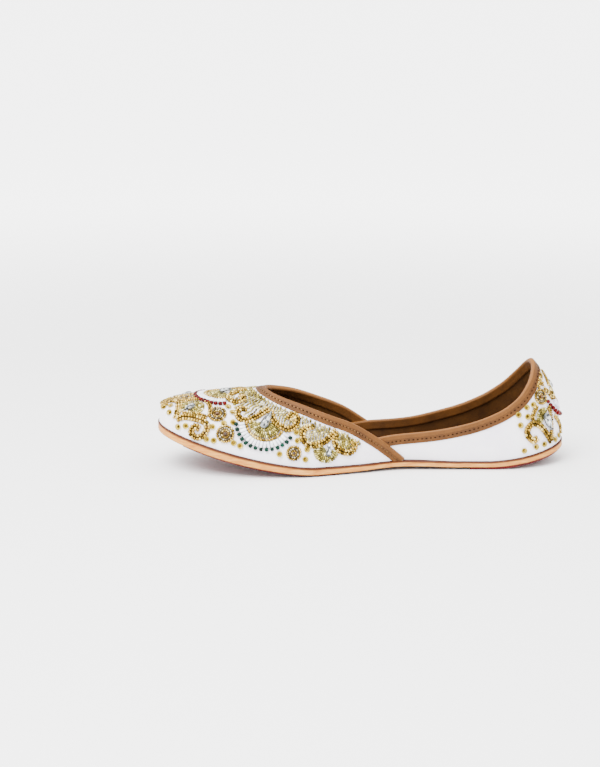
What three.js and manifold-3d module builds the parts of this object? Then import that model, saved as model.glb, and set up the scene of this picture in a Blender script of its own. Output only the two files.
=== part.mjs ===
// A mojari: a flat slip-on shoe of south Asian dress, one of a pair with no left or right.
// A leather sole with a sprung toe and heel carries a low embroidered vamp and a separate
// back quarter that rises to a point at the heel. The vamp laps over the quarter at the
// waist, and each of their free edges is wrapped in a folded leather binding.
// Millimetres, +Z up, the toe towards -X. The floor is z = 0.
import * as THREE from "three";
import { mergeVertices } from "three/addons/utils/BufferGeometryUtils.js";
import Module from "manifold-3d";

const wasm = await Module();
wasm.setup();

// ---------------------------------------------------------------- driving dimensions

const lastLength = 250; // toe to heel along the feather line, where upper meets sole
const ball = { x: 78, halfWidth: 39 }; // where the toe's round outline reaches full width
const heel = { round: 38, halfWidth: 29.5 }; // length and half width of the heel's round outline
const toeSquareness = 2.45; // superellipse powers of the outline's two ends: 2 is an ellipse
const heelSquareness = 2.06;

const toeSpring = { rise: 21.6, from: 92, power: 1.53 }; // how the sole lifts to the toe
const heelSpring = { rise: 8, from: 200, power: 1.5 };
const waistArch = { rise: 0.9, from: 106, to: 182 };
// the red sole pads, and how far each stays inside the sole's edge
const forefootPad = { inset: 2.6, from: 13, to: 106, flat: { from: toeSpring.from, to: 106 } };
const heelPad = { inset: 1.4, from: 188, to: lastLength, flat: { from: 188, to: heelSpring.from } };

const wall = 2; // satin face, interlining and leather lining together
const gap = 0.3; // between pieces that meet
const bindingWidth = 5.7; // of each leaf, from the free edge
const bindingLeaf = 0.9; // leather thickness of the folded binding
const insoleThickness = 1.6;
const lapDepth = wall - gap; // how far the quarter lies inside the vamp where they overlap
const lapEnd = { full: 152, none: 185 }; // where the quarter comes out to the vamp's surface

const vampStart = 63.9; // x of the throat's centre
const vampEnd = 147; // x of the vamp's rear tip, where its edge has all but reached the sole
const quarterStart = 122; // x of the quarter's front end, hidden under the vamp
const toeCentre = 26; // centre line points that the ends of the outline are drawn towards
const heelCentre = lastLength - 50;
const bluntTip = 0.015; // least turn of the vamp's rear tip, where its height runs out

// Half width of the last between its two round ends.
const waistWidths = [
  { x: ball.x - 10, halfWidth: ball.halfWidth },
  { x: ball.x, halfWidth: ball.halfWidth },
  { x: 118, halfWidth: 31.2 },
  { x: 148, halfWidth: 24.6 },
  { x: 180, halfWidth: 27.2 },
  { x: lastLength - heel.round, halfWidth: heel.halfWidth },
  { x: lastLength, halfWidth: heel.halfWidth },
];

// Height of the last's crest on the centre line. Behind the throat it is the crest of
// the foot, which the collar leaves open, and the side walls still curve towards it.
const crestHeights = [
  { x: 0, z: 41.2 },
  { x: 8, z: 41.3 },
  { x: 15, z: 41.7 },
  { x: 30, z: 43.6 },
  { x: 45, z: 45.2 },
  { x: 65, z: 47.2 },
  { x: 100, z: 56 },
  { x: 140, z: 65.8 },
  { x: 180, z: 74.2 },
  { x: 215, z: 77.2 },
  { x: lastLength, z: 77.2 },
];

// Squareness of the cross section: a blunt, boxy toe front, rounder over the instep.
const sectionPowers = [
  { x: toeCentre, power: 6 },
  { x: 28, power: 5 },
  { x: 32, power: 3.4 },
  { x: 38, power: 2.5 },
  { x: 50, power: 2.08 },
  { x: 100, power: 2.0 },
  { x: 160, power: 1.79 },
  { x: heelCentre, power: 1.79 },
];

// The sole leather, and the room under it that the pads fill.
const soleLayers = [
  { x: 0, sole: 5.2, pad: 1 },
  { x: 20, sole: 5.2, pad: 1 },
  { x: 60, sole: 4.7, pad: 1.1 },
  { x: 105, sole: 4, pad: 1.2 },
  { x: 140, sole: 3.4, pad: 1.3 },
  { x: 190, sole: 3.3, pad: 1.6 },
  { x: 230, sole: 3.8, pad: 1.4 },
  { x: lastLength, sole: 4.8, pad: 1.1 },
];

// How far the sole's edge stands out past the upper.
const soleLedges = [
  { x: 0, out: 0.8 },
  { x: 40, out: 1.8 },
  { x: 210, out: 1.8 },
  { x: lastLength, out: 0.8 },
];

// The vamp's free edge, from the throat down to the sole, seen from the side. The last
// row lies under the sole's top, so that the binding runs out past the vamp's own end.
const vampEdge = [
  { x: vampStart, z: 47.1 },
  { x: 70, z: 45.2 },
  { x: 85, z: 40.9 },
  { x: 100, z: 35.4 },
  { x: 115, z: 29.5 },
  { x: 130, z: 20.3 },
  { x: 143, z: 10.2 },
  { x: 148.3, z: 5.3 },
  { x: 156, z: -4 },
];

// The quarter's topline, from under the vamp up to the heel's point.
const topline = [
  { x: 118, z: 16.8 },
  { x: 135, z: 20 },
  { x: 160, z: 22.2 },
  { x: 185, z: 26.9 },
  { x: 205, z: 33.8 },
  { x: 220, z: 41.8 },
  { x: 232, z: 50.4 },
  { x: 242, z: 57.5 },
  { x: lastLength, z: 62.3 },
];

const colours = {
  soleLeather: 0xd9a679,
  padRed: 0x8e1f22,
  insoleLeather: 0x6f4a25,
  satin: 0xeae6ee,
  bindingLeather: 0xa86f42,
};

// ---------------------------------------------------------------- curves

// A smooth curve through the rows of a table, in one of its columns. Slopes are harmonic
// means, so it never swings past its rows, and it runs on straight beyond both ends.
function curveThrough(rows, column) {
  const xs = rows.map((row) => row.x);
  const ys = rows.map((row) => row[column]);
  const last = rows.length - 1;
  const steps = xs.slice(1).map((x, i) => (ys[i + 1] - ys[i]) / (x - xs[i]));
  const slopes = xs.map((_, i) => {
    if (i === 0) return steps[0];
    if (i === last) return steps[last - 1];
    const [before, after] = [steps[i - 1], steps[i]];
    return before * after > 0 ? (2 * before * after) / (before + after) : 0;
  });
  return (x) => {
    if (x <= xs[0]) return ys[0] + slopes[0] * (x - xs[0]);
    if (x >= xs[last]) return ys[last] + slopes[last] * (x - xs[last]);
    const i = xs.findIndex((_, k) => x < xs[k + 1]);
    const span = xs[i + 1] - xs[i];
    const t = (x - xs[i]) / span;
    return (
      (2 * t ** 3 - 3 * t ** 2 + 1) * ys[i] +
      (t ** 3 - 2 * t ** 2 + t) * span * slopes[i] +
      (3 * t ** 2 - 2 * t ** 3) * ys[i + 1] +
      (t ** 3 - t ** 2) * span * slopes[i + 1]
    );
  };
}

const waistWidth = curveThrough(waistWidths, "halfWidth");
const crestHeight = curveThrough(crestHeights, "z");
const sectionPower = curveThrough(sectionPowers, "power");
const soleThickness = curveThrough(soleLayers, "sole");
const padRoom = curveThrough(soleLayers, "pad");
const soleLedge = curveThrough(soleLedges, "out");
const vampEdgeHeight = curveThrough(vampEdge, "z");
const toplineHeight = curveThrough(topline, "z");

const clamp01 = (t) => Math.min(1, Math.max(0, t));

// Rises from 0 to 1 along a superellipse quarter, upright at its start.
const roundEnd = (t, power) => (1 - (1 - clamp01(t)) ** power) ** (1 / power);

// Height of the walking surface over the floor: sprung toe, flat tread, waist and heel.
function treadHeight(x) {
  const toe = Math.max(0, toeSpring.from - x) / toeSpring.from;
  const back = Math.max(0, x - heelSpring.from) / (lastLength - heelSpring.from);
  const waist = clamp01((x - waistArch.from) / (waistArch.to - waistArch.from));
  return (
    toeSpring.rise * toe ** toeSpring.power +
    heelSpring.rise * back ** heelSpring.power +
    waistArch.rise * Math.sin(Math.PI * waist) ** 2
  );
}

const soleBottom = (x) => treadHeight(x) + padRoom(x);
const soleTop = (x) => soleBottom(x) + soleThickness(x);
const seat = (x) => soleTop(x) + gap; // the underside of upper and insole

// Half width of the last's feather line.
function halfWidth(x) {
  const within = Math.min(Math.max(x, ball.x), lastLength - heel.round);
  return (
    waistWidth(within) *
    roundEnd(x / ball.x, toeSquareness) *
    roundEnd((lastLength - x) / heel.round, heelSquareness)
  );
}

// ---------------------------------------------------------------- the last's surface

// The feather line measured by its own length s, from the toe's centre to the heel's.
// Past either end it runs on round the other side, with y of the other sign.
const outlineTable = (() => {
  const count = 3000;
  const points = [];
  for (let i = 0; i <= count; i++) {
    const x = (lastLength * (1 - Math.cos((Math.PI * i) / count))) / 2;
    const y = halfWidth(x);
    const before = points[i - 1];
    const s = before ? before.s + Math.hypot(x - before.x, y - before.y) : 0;
    points.push({ s, x, y });
  }
  return points;
})();
const outlineLength = outlineTable.at(-1).s;

function between(table, key, value) {
  let low = 0;
  let high = table.length - 1;
  while (high - low > 1) {
    const middle = (low + high) >> 1;
    if (table[middle][key] > value) high = middle;
    else low = middle;
  }
  const t = (value - table[low][key]) / (table[high][key] - table[low][key]);
  return { from: table[low], to: table[high], t };
}

function outlineAt(s) {
  const folded = s < 0 ? -s : s > outlineLength ? 2 * outlineLength - s : s;
  const { from, to, t } = between(outlineTable, "s", folded);
  const y = from.y + (to.y - from.y) * t;
  return { x: from.x + (to.x - from.x) * t, y: folded === s ? y : -y };
}

function lengthAt(x) {
  const { from, to, t } = between(outlineTable, "x", x);
  return from.s + (to.s - from.s) * t;
}

// The centre line point that the section through a feather point is drawn towards: right
// across in the middle of the shoe, fanned out round its two ends.
function centreFor(x) {
  const heelFan = lastLength - heel.round - 20;
  if (x < ball.x) {
    const reach = ball.x - toeCentre;
    return toeCentre + reach * (x / ball.x) ** (ball.x / reach);
  }
  if (x > heelFan) {
    const reach = heelCentre - heelFan;
    const share = (lastLength - x) / (lastLength - heelFan);
    return heelCentre - reach * share ** ((lastLength - heelFan) / reach);
  }
  return x;
}

// A point of the last. s runs along the feather line, and turn goes from 0 there to a
// quarter turn on the crest, and on down the other side.
function lastPoint(s, turn) {
  const foot = outlineAt(s);
  const inward = 1 - Math.abs(Math.cos(turn));
  const x = foot.x + (centreFor(foot.x) - foot.x) * inward;
  const power = 2 / sectionPower(centreFor(foot.x));
  const rise = Math.sign(Math.sin(turn)) * Math.abs(Math.sin(turn)) ** power;
  const base = seat(foot.x);
  return new THREE.Vector3(x, -foot.y * Math.cos(turn), base + (crestHeight(x) - base) * rise);
}

// The turn at which the section through s reaches a height.
function turnAtHeight(s, height) {
  let low = -0.6;
  let high = Math.PI / 2;
  for (let i = 0; i < 40; i++) {
    const middle = (low + high) / 2;
    if (lastPoint(s, middle).z < height) low = middle;
    else high = middle;
  }
  return (low + high) / 2;
}

const throatLength = lengthAt(vampStart);
const vampTurn = (s) =>
  s <= throatLength ? Math.PI / 2 : turnAtHeight(s, vampEdgeHeight(outlineAt(s).x));
const quarterTurn = (s) => turnAtHeight(s, toplineHeight(outlineAt(s).x));

// How deep the quarter's outer face lies inside the last's surface.
function lapAt(x) {
  const t = clamp01((x - lapEnd.full) / (lapEnd.none - lapEnd.full));
  return lapDepth * (1 - t * t * (3 - 2 * t));
}

// ---------------------------------------------------------------- solids

const spread = (from, to, count) =>
  Array.from({ length: count + 1 }, (_, i) => from + ((to - from) * i) / count);

// A closed solid from a list of quads and triangles, each an array of points.
function solidFrom(faces) {
  const positions = [];
  for (const face of faces) {
    for (let i = 2; i < face.length; i++) {
      for (const p of [face[0], face[i - 1], face[i]]) positions.push(p.x, p.y, p.z);
    }
  }
  const loose = new THREE.BufferGeometry();
  loose.setAttribute("position", new THREE.Float32BufferAttribute(positions, 3));
  const merged = mergeVertices(loose, 1e-4);
  const corners = merged.index.array;
  const kept = [];
  for (let i = 0; i < corners.length; i += 3) {
    const [a, b, c] = [corners[i], corners[i + 1], corners[i + 2]];
    if (a !== b && b !== c && c !== a) kept.push(a, b, c);
  }
  return new wasm.Manifold(
    new wasm.Mesh({
      numProp: 3,
      vertProperties: merged.attributes.position.array,
      triVerts: new Uint32Array(kept),
    }),
  );
}

const mirrored = (p) => new THREE.Vector3(p.x, -p.y, p.z);

// Adds the same faces on the shoe's other side, turned to face outwards there.
const bothSides = (faces) => [
  ...faces,
  ...faces.map((face) => face.map(mirrored).reverse()),
];

// Outward normals at the points of a grid on one side of the shoe. Points on the centre
// plane get normals in that plane, and the bottom row gets level ones.
function gridNormals(grid) {
  const normals = grid.map((column) => column.map(() => new THREE.Vector3()));
  const edgeA = new THREE.Vector3();
  const edgeB = new THREE.Vector3();
  for (let i = 0; i + 1 < grid.length; i++) {
    for (let j = 0; j + 1 < grid[i].length; j++) {
      edgeA.subVectors(grid[i + 1][j + 1], grid[i][j]);
      edgeB.subVectors(grid[i][j + 1], grid[i + 1][j]);
      const face = new THREE.Vector3().crossVectors(edgeA, edgeB);
      for (const [a, b] of [[i, j], [i + 1, j], [i, j + 1], [i + 1, j + 1]]) {
        normals[a][b].add(face);
      }
    }
  }
  normals.forEach((column, i) =>
    column.forEach((normal, j) => {
      if (Math.abs(grid[i][j].y) < 1e-6) normal.y = 0;
      if (j === 0) normal.z = 0;
      normal.normalize();
    }),
  );
  return normals;
}

// The wall of an upper part: a grid on the last's surface from the feather line to a free
// edge, moved in by inset(x) for its outer face and by wall more for its inner face.
// grow thickens it all round, to make the room that a neighbour leaves.
function upperWall({ lengths, edgeTurn, rows, inset, grow = 0 }) {
  const grid = lengths.map((s) => {
    const edge = Math.max(bluntTip, edgeTurn(s));
    const perTurn = lastPoint(s, edge).distanceTo(lastPoint(s, edge - 0.01)) / 0.01;
    const top = Math.min(Math.PI / 2, edge + (1.4 * grow) / perTurn);
    return spread(0, 1, rows).map((t) => lastPoint(s, top * t));
  });
  const normals = gridNormals(grid);
  const moved = (depth) =>
    grid.map((column, i) =>
      column.map((point, j) => point.clone().addScaledVector(normals[i][j], -depth(i))),
    );
  const feet = lengths.map((s) => outlineAt(s).x);
  const outer = moved((i) => inset(feet[i]) - grow);
  const inner = moved((i) => inset(feet[i]) + wall + grow);
  const faces = [];
  const top = rows;
  const lastColumn = lengths.length - 1;
  for (let i = 0; i < lastColumn; i++) {
    for (let j = 0; j < rows; j++) {
      faces.push([outer[i][j], outer[i + 1][j], outer[i + 1][j + 1], outer[i][j + 1]]);
      faces.push([inner[i][j], inner[i][j + 1], inner[i + 1][j + 1], inner[i + 1][j]]);
    }
    faces.push([outer[i][0], inner[i][0], inner[i + 1][0], outer[i + 1][0]]);
    const onCentre = Math.abs(outer[i][top].y) < 1e-6 && Math.abs(outer[i + 1][top].y) < 1e-6;
    if (!onCentre) {
      faces.push([outer[i][top], outer[i + 1][top], inner[i + 1][top], inner[i][top]]);
    }
  }
  for (const [i, turned] of [[0, false], [lastColumn, true]]) {
    if (grid[i].every((point) => Math.abs(point.y) < 1e-6)) continue;
    for (let j = 0; j < rows; j++) {
      const face = [outer[i][j], outer[i][j + 1], inner[i][j + 1], inner[i][j]];
      faces.push(turned ? face.reverse() : face);
    }
  }
  return solidFrom(bothSides(faces));
}

// A point of the last at a distance from a free edge: into the wall for a positive one.
// It follows the surface, because the step is taken in s and turn and not straight.
function besideEdge(station, tangent, distance, depth) {
  const small = 1e-3;
  const here = lastPoint(station.s, station.turn);
  const alongS = lastPoint(station.s + small, station.turn).sub(here).divideScalar(small);
  const alongTurn = lastPoint(station.s, station.turn - small)
    .sub(here)
    .divideScalar(-small);
  const normal = new THREE.Vector3().crossVectors(alongS, alongTurn).normalize();
  const inward = new THREE.Vector3().crossVectors(tangent, normal).normalize();
  const step = inward.multiplyScalar(distance);
  const ss = alongS.dot(alongS);
  const st = alongS.dot(alongTurn);
  const tt = alongTurn.dot(alongTurn);
  const bs = step.dot(alongS);
  const bt = step.dot(alongTurn);
  const det = ss * tt - st * st;
  const s = station.s + (bs * tt - bt * st) / det;
  const turn = station.turn + (bt * ss - bs * st) / det;
  const point = lastPoint(s, turn);
  const ds = lastPoint(s + small, turn).sub(point);
  const dt = lastPoint(s, turn - small).sub(point).negate();
  const outward = new THREE.Vector3().crossVectors(ds, dt).normalize();
  return point.addScaledVector(outward, -depth);
}

// A bar along a free edge of the upper. Its section is a closed list of { into, up }: the
// distance from the edge into the wall, and the height over the wall's outer face.
function edgeBar({ lengths, edgeTurn, section, inset, ends }) {
  const stations = lengths.map((s) => ({ s, turn: edgeTurn(s) }));
  const tangentAt = (i) => {
    const before = stations[Math.max(0, i - 1)];
    const after = stations[Math.min(stations.length - 1, i + 1)];
    const tangent = lastPoint(after.s, after.turn).sub(lastPoint(before.s, before.turn));
    if (i === 0 && ends.start === "centre") tangent.set(0, -1, 0);
    if (i === stations.length - 1 && ends.end === "centre") tangent.set(0, 1, 0);
    return tangent.normalize();
  };
  const rings = stations.map((station, i) => {
    const tangent = tangentAt(i);
    const depth = inset(outlineAt(station.s).x);
    const ring = section.map(({ into, up }) => besideEdge(station, tangent, into, depth - up));
    const centred =
      (i === 0 && ends.start === "centre") ||
      (i === stations.length - 1 && ends.end === "centre");
    if (centred) ring.forEach((point) => (point.y = 0));
    return ring;
  });
  const faces = [];
  for (let i = 0; i + 1 < rings.length; i++) {
    for (let k = 0; k < section.length; k++) {
      const next = (k + 1) % section.length;
      faces.push([rings[i][k], rings[i + 1][k], rings[i + 1][next], rings[i][next]]);
    }
  }
  const open = ends.start === "centre" ? rings.at(-1) : rings[0];
  const cap = THREE.ShapeUtils.triangulateShape(
    section.map(({ into, up }) => new THREE.Vector2(into, up)),
    [],
  ).map((corners) => corners.map((k) => open[k]));
  faces.push(...cap.map((face) => (ends.start === "centre" ? face.reverse() : face)));
  return solidFrom(bothSides(faces));
}

// The folded binding's section: an outer leaf, a round fold over the edge and an inner leaf.
function bindingSection() {
  const up = gap + bindingLeaf;
  const down = -(wall + gap + bindingLeaf);
  const innerWidth = bindingWidth - 0.6;
  return [
    { into: bindingWidth, up },
    { into: bindingWidth / 2, up },
    { into: 0, up },
    { into: -0.6, up: up - 0.6 },
    { into: -0.9, up: up - 1.4 },
    { into: -0.9, up: down + 1.4 },
    { into: -0.6, up: down + 0.6 },
    { into: 0, up: down },
    { into: innerWidth / 2, up: down },
    { into: innerWidth, up: down },
    { into: innerWidth, up: -(wall + gap) },
    { into: innerWidth / 2, up: -(wall + gap) },
    { into: -gap, up: -(wall + gap) },
    { into: -gap, up: gap },
    { into: bindingWidth / 2, up: gap },
    { into: bindingWidth, up: gap },
  ];
}

// The room round a binding, as a plain bar.
function bindingRoom() {
  const up = 2 * gap + bindingLeaf;
  const down = -(wall + 2 * gap + bindingLeaf);
  return [
    { into: bindingWidth + gap, up },
    { into: bindingWidth / 2, up },
    { into: -1.5, up },
    { into: -1.5, up: down },
    { into: bindingWidth / 2, up: down },
    { into: bindingWidth + gap, up: down },
  ];
}

// The plan of a flat layer: the feather line moved out by out(x), cut off between two x.
// The flat stretch of a pad is left as one face from side to side.
function planOf({ out, from = -Infinity, to = Infinity, flat, count = 64 }) {
  const points = spread(0, outlineLength, count).map((s) => {
    const foot = outlineAt(s);
    const ahead = outlineAt(s + 0.2);
    const behind = outlineAt(s - 0.2);
    const run = new THREE.Vector2(ahead.x - behind.x, ahead.y - behind.y).normalize();
    const distance = out(foot.x);
    return { x: foot.x - run.y * distance, y: foot.y + run.x * distance };
  });
  points[0].y = 0;
  points[count].y = 0;
  const cutAt = (x) => {
    const i = points.findIndex((point) => point.x > x);
    const t = (x - points[i - 1].x) / (points[i].x - points[i - 1].x);
    return { x, y: points[i - 1].y + (points[i].y - points[i - 1].y) * t };
  };
  const cuts = [from, to, flat?.from, flat?.to].filter(
    (x) => x > points[0].x && x < points[count].x,
  );
  const beside = (x) => cuts.some((cut) => Math.abs(x - cut) < 0.6);
  const inFlat = (x) => flat && x > flat.from && x < flat.to;
  return points
    .filter(({ x }) => x > from && x < to && !beside(x) && !inFlat(x))
    .concat(cuts.map(cutAt))
    .sort((a, b) => a.x - b.x);
}

// A flat layer over a plan, between two heights that follow the shoe's length.
function layer(plan, bottom, top) {
  const point = (p, side, height) => new THREE.Vector3(p.x, side * p.y, height(p.x));
  const faces = [];
  for (let i = 0; i + 1 < plan.length; i++) {
    const [a, b] = [plan[i], plan[i + 1]];
    const corners = (height) => [
      point(a, -1, height),
      point(b, -1, height),
      point(b, 1, height),
      point(a, 1, height),
    ];
    faces.push(corners(top), corners(bottom).reverse());
    for (const side of [-1, 1]) {
      const edge = [
        point(a, side, bottom),
        point(b, side, bottom),
        point(b, side, top),
        point(a, side, top),
      ];
      faces.push(side < 0 ? edge : edge.reverse());
    }
  }
  for (const [end, turned] of [[plan[0], false], [plan.at(-1), true]]) {
    if (end.y < 1e-6) continue;
    const face = [
      point(end, 1, bottom),
      point(end, -1, bottom),
      point(end, -1, top),
      point(end, 1, top),
    ];
    faces.push(turned ? face.reverse() : face);
  }
  return solidFrom(faces);
}

// A cut solid without the crumbs that a cut can leave beside it.
const withoutCrumbs = (solid) =>
  solid.decompose().reduce((a, b) => (a.volume() > b.volume() ? a : b));

// ---------------------------------------------------------------- the pieces

const vampEdgeLengths = [
  ...spread(0, 1, 7).map((t) => throatLength + 14 * t * t),
  ...spread(throatLength + 14, lengthAt(vampEnd), 15).slice(1),
];
const vampLengths = [...spread(0, throatLength, 16), ...vampEdgeLengths.slice(1)];
// lead starts the quarter's room that much ahead of the quarter itself.
const quarterLengths = (lead = 0) => [
  ...spread(lengthAt(quarterStart) - lead, lengthAt(195), 9),
  ...spread(lengthAt(195), outlineLength, 16).slice(1),
];
const flush = () => 0;

const vampWall = (grow = 0) =>
  upperWall({ lengths: vampLengths, edgeTurn: vampTurn, rows: 8, inset: flush, grow });

const quarterWall = (grow = 0) =>
  upperWall({
    lengths: quarterLengths(grow),
    edgeTurn: quarterTurn,
    rows: 5,
    inset: lapAt,
    grow,
  });

const vampBar = (section) =>
  edgeBar({
    lengths: [...vampEdgeLengths, ...spread(lengthAt(vampEnd), lengthAt(154), 3).slice(1)],
    edgeTurn: vampTurn,
    section,
    inset: flush,
    ends: { start: "centre" },
  });

const quarterBar = (section, lead = 0) =>
  edgeBar({
    lengths: quarterLengths(lead),
    edgeTurn: quarterTurn,
    section,
    inset: lapAt,
    ends: { end: "centre" },
  });

// Everything under the seat of the upper, to trim what runs out past the sole's top.
const underSeat = () =>
  layer(planOf({ out: () => 12, count: 40 }), () => -40, (x) => seat(x));

function soleSolid() {
  return layer(planOf({ out: soleLedge }), soleBottom, soleTop);
}

function padSolid(pad) {
  const plan = planOf({ out: (x) => soleLedge(x) - pad.inset, ...pad });
  return layer(plan, treadHeight, (x) => soleBottom(x) - gap);
}

function insoleSolid() {
  const lapped = (x) => lapDepth * clamp01((x - 96) / 20) * (x < quarterStart ? 1 : lapAt(x) / lapDepth);
  const plan = planOf({ out: (x) => -(wall + gap + 0.1 + lapped(x)) });
  return layer(plan, seat, (x) => seat(x) + insoleThickness);
}

function upperSolid() {
  return vampWall().add(quarterWall());
}

function vampBindingSolid() {
  return withoutCrumbs(
    vampBar(bindingSection())
      .subtract(vampWall(gap / 2))
      .subtract(quarterWall(gap))
      .subtract(quarterBar(bindingRoom(), gap))
      .subtract(underSeat()),
  );
}

function quarterBindingSolid() {
  return withoutCrumbs(
    quarterBar(bindingSection())
      .subtract(quarterWall(gap / 2))
      .subtract(vampWall(gap)),
  );
}

// ---------------------------------------------------------------- the shoe

function meshFrom(solid, name, color, roughness) {
  const { vertProperties, triVerts } = solid.getMesh();
  const geometry = new THREE.BufferGeometry();
  geometry.setAttribute("position", new THREE.BufferAttribute(vertProperties, 3));
  geometry.setIndex(new THREE.BufferAttribute(triVerts, 1));
  geometry.computeVertexNormals();
  const material = new THREE.MeshStandardMaterial({ color, roughness, metalness: 0 });
  const mesh = new THREE.Mesh(geometry, material);
  mesh.name = name;
  return mesh;
}

const mojari = new THREE.Group();
mojari.position.x = -lastLength / 2;
mojari.add(
  meshFrom(soleSolid(), "sole", colours.soleLeather, 0.6),
  meshFrom(padSolid(forefootPad), "forefoot_pad", colours.padRed, 0.55),
  meshFrom(padSolid(heelPad), "heel_pad", colours.padRed, 0.55),
  meshFrom(insoleSolid(), "insole", colours.insoleLeather, 0.5),
  meshFrom(upperSolid(), "upper", colours.satin, 0.45),
  meshFrom(vampBindingSolid(), "vamp_binding", colours.bindingLeather, 0.6),
  meshFrom(quarterBindingSolid(), "quarter_binding", colours.bindingLeather, 0.6),
);

export default mojari;
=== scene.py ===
import math
import bpy
import bmesh
import numpy as np
from mathutils import Matrix, Vector


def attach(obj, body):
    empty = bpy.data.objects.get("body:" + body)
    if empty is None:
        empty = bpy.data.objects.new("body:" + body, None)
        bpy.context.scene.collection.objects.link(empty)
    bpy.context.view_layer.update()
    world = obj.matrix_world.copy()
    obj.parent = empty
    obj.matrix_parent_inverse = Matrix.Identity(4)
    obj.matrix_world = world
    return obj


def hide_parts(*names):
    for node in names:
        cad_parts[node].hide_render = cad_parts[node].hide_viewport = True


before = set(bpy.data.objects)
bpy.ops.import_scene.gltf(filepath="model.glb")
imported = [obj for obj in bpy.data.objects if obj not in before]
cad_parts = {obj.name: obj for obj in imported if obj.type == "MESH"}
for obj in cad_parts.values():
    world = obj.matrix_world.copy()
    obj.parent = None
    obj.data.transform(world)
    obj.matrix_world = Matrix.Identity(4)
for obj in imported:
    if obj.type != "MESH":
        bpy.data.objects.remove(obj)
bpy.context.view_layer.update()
rng = np.random.default_rng(7)
print("frame loaded")

# All sizes are in millimetres, x from the toe's tip to the heel along the feather line.
last = {
    "length": 250.0,
    "ballX": 78.0, "toePower": 2.45,
    "heelRound": 38.0, "heelPower": 2.06,
    "toeCentre": 26.0, "heelCentre": 200.0, "heelFan": 20.0,
    "toeRise": 21.6, "toeFrom": 92.0, "toeCurve": 1.53,
    "heelRise": 8.0, "heelFrom": 200.0, "heelCurve": 1.5,
    "archRise": 0.9, "archFrom": 106.0, "archTo": 182.0,
    "gap": 0.3, "wall": 2.0, "bindingWidth": 5.7,
    "vampStart": 63.9, "vampEnd": 147.0, "quarterStart": 122.0,
    "lapDepth": 1.7, "lapFull": 152.0, "lapNone": 185.0,
}


def curveThrough(rows):
    # Cubic between neighbouring rows with harmonic mean slopes, straight beyond both ends.
    xs, ys = np.array(rows, float).T
    steps = np.diff(ys) / np.diff(xs)
    slopes = np.concatenate([steps[:1], np.zeros(len(xs) - 2), steps[-1:]])
    a, b = steps[:-1], steps[1:]
    same = a * b > 0
    slopes[1:-1] = np.where(same, 2 * a * b / np.where(same, a + b, 1), 0)

    def curve(x):
        x = np.asarray(x, float)
        i = np.clip(np.searchsorted(xs, x, side="right") - 1, 0, len(xs) - 2)
        span = xs[i + 1] - xs[i]
        t = (x - xs[i]) / span
        inside = (
            (2 * t**3 - 3 * t**2 + 1) * ys[i] + (t**3 - 2 * t**2 + t) * span * slopes[i]
            + (3 * t**2 - 2 * t**3) * ys[i + 1] + (t**3 - t**2) * span * slopes[i + 1]
        )
        low = ys[0] + slopes[0] * (x - xs[0])
        high = ys[-1] + slopes[-1] * (x - xs[-1])
        return np.where(x < xs[0], low, np.where(x > xs[-1], high, inside))

    return curve


# tables of (x, value), in order: half width, crest, how square the section is, sole's thickness, room for the
# pads, how far the sole stands out, and the two edges' heights in side view
waistWidth = curveThrough([
    (68, 39), (78, 39), (118, 31.2), (148, 24.6), (180, 27.2), (212, 29.5), (250, 29.5),
])
crestHeight = curveThrough([
    (0, 41.2), (8, 41.3), (15, 41.7), (30, 43.6), (45, 45.2), (65, 47.2), (100, 56), (140, 65.8),
    (180, 74.2), (215, 77.2), (250, 77.2),
])
sectionPower = curveThrough([
    (26, 6.0), (28, 5.0), (32, 3.4), (38, 2.5), (50, 2.08), (100, 2.0), (160, 1.79), (200, 1.79),
])
soleThickness = curveThrough([
    (0, 5.2), (20, 5.2), (60, 4.7), (105, 4), (140, 3.4), (190, 3.3), (230, 3.8), (250, 4.8),
])
padRoom = curveThrough([
    (0, 1), (20, 1), (60, 1.1), (105, 1.2), (140, 1.3), (190, 1.6), (230, 1.4), (250, 1.1),
])
soleLedge = curveThrough([(0, 0.8), (40, 1.8), (210, 1.8), (250, 0.8)])
vampEdgeHeight = curveThrough([
    (63.9, 47.1), (70, 45.2), (85, 40.9), (100, 35.4), (115, 29.5), (130, 20.3), (143, 10.2), (148.3, 5.3),
    (156, -4),
])
toplineHeight = curveThrough([
    (118, 16.8), (135, 20), (160, 22.2), (185, 26.9), (205, 33.8), (220, 41.8), (232, 50.4), (242, 57.5),
    (250, 62.3),
])


def roundEnd(t, power):
    # A superellipse quarter, upright at its start: the power root of 1 - (1 - t) to the power.
    return (1 - (1 - np.clip(t, 0, 1)) ** power) ** (1 / power)


def treadHeight(x):
    # A power of the distance before toeFrom and behind heelFrom, and a sine squared arch at the waist.
    toe = np.maximum(0, last["toeFrom"] - x) / last["toeFrom"]
    back = np.maximum(0, x - last["heelFrom"]) / (last["length"] - last["heelFrom"])
    waist = np.clip((x - last["archFrom"]) / (last["archTo"] - last["archFrom"]), 0, 1)
    return (
        last["toeRise"] * toe ** last["toeCurve"] + last["heelRise"] * back ** last["heelCurve"]
        + last["archRise"] * np.sin(np.pi * waist) ** 2
    )


def soleBottom(x):  # the tread and the room for a pad
    return treadHeight(x) + padRoom(x)


def soleTop(x):  # the bottom and the leather on it
    return soleBottom(x) + soleThickness(x)


def seat(x):  # underside of upper and insole
    return soleTop(x) + last["gap"]


def halfWidth(x):  # the width between the round ends times a superellipse quarter at each end
    within = np.clip(x, last["ballX"], last["length"] - last["heelRound"])
    toe = roundEnd(x / last["ballX"], last["toePower"])
    return waistWidth(within) * toe * roundEnd((last["length"] - x) / last["heelRound"], last["heelPower"])


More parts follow.
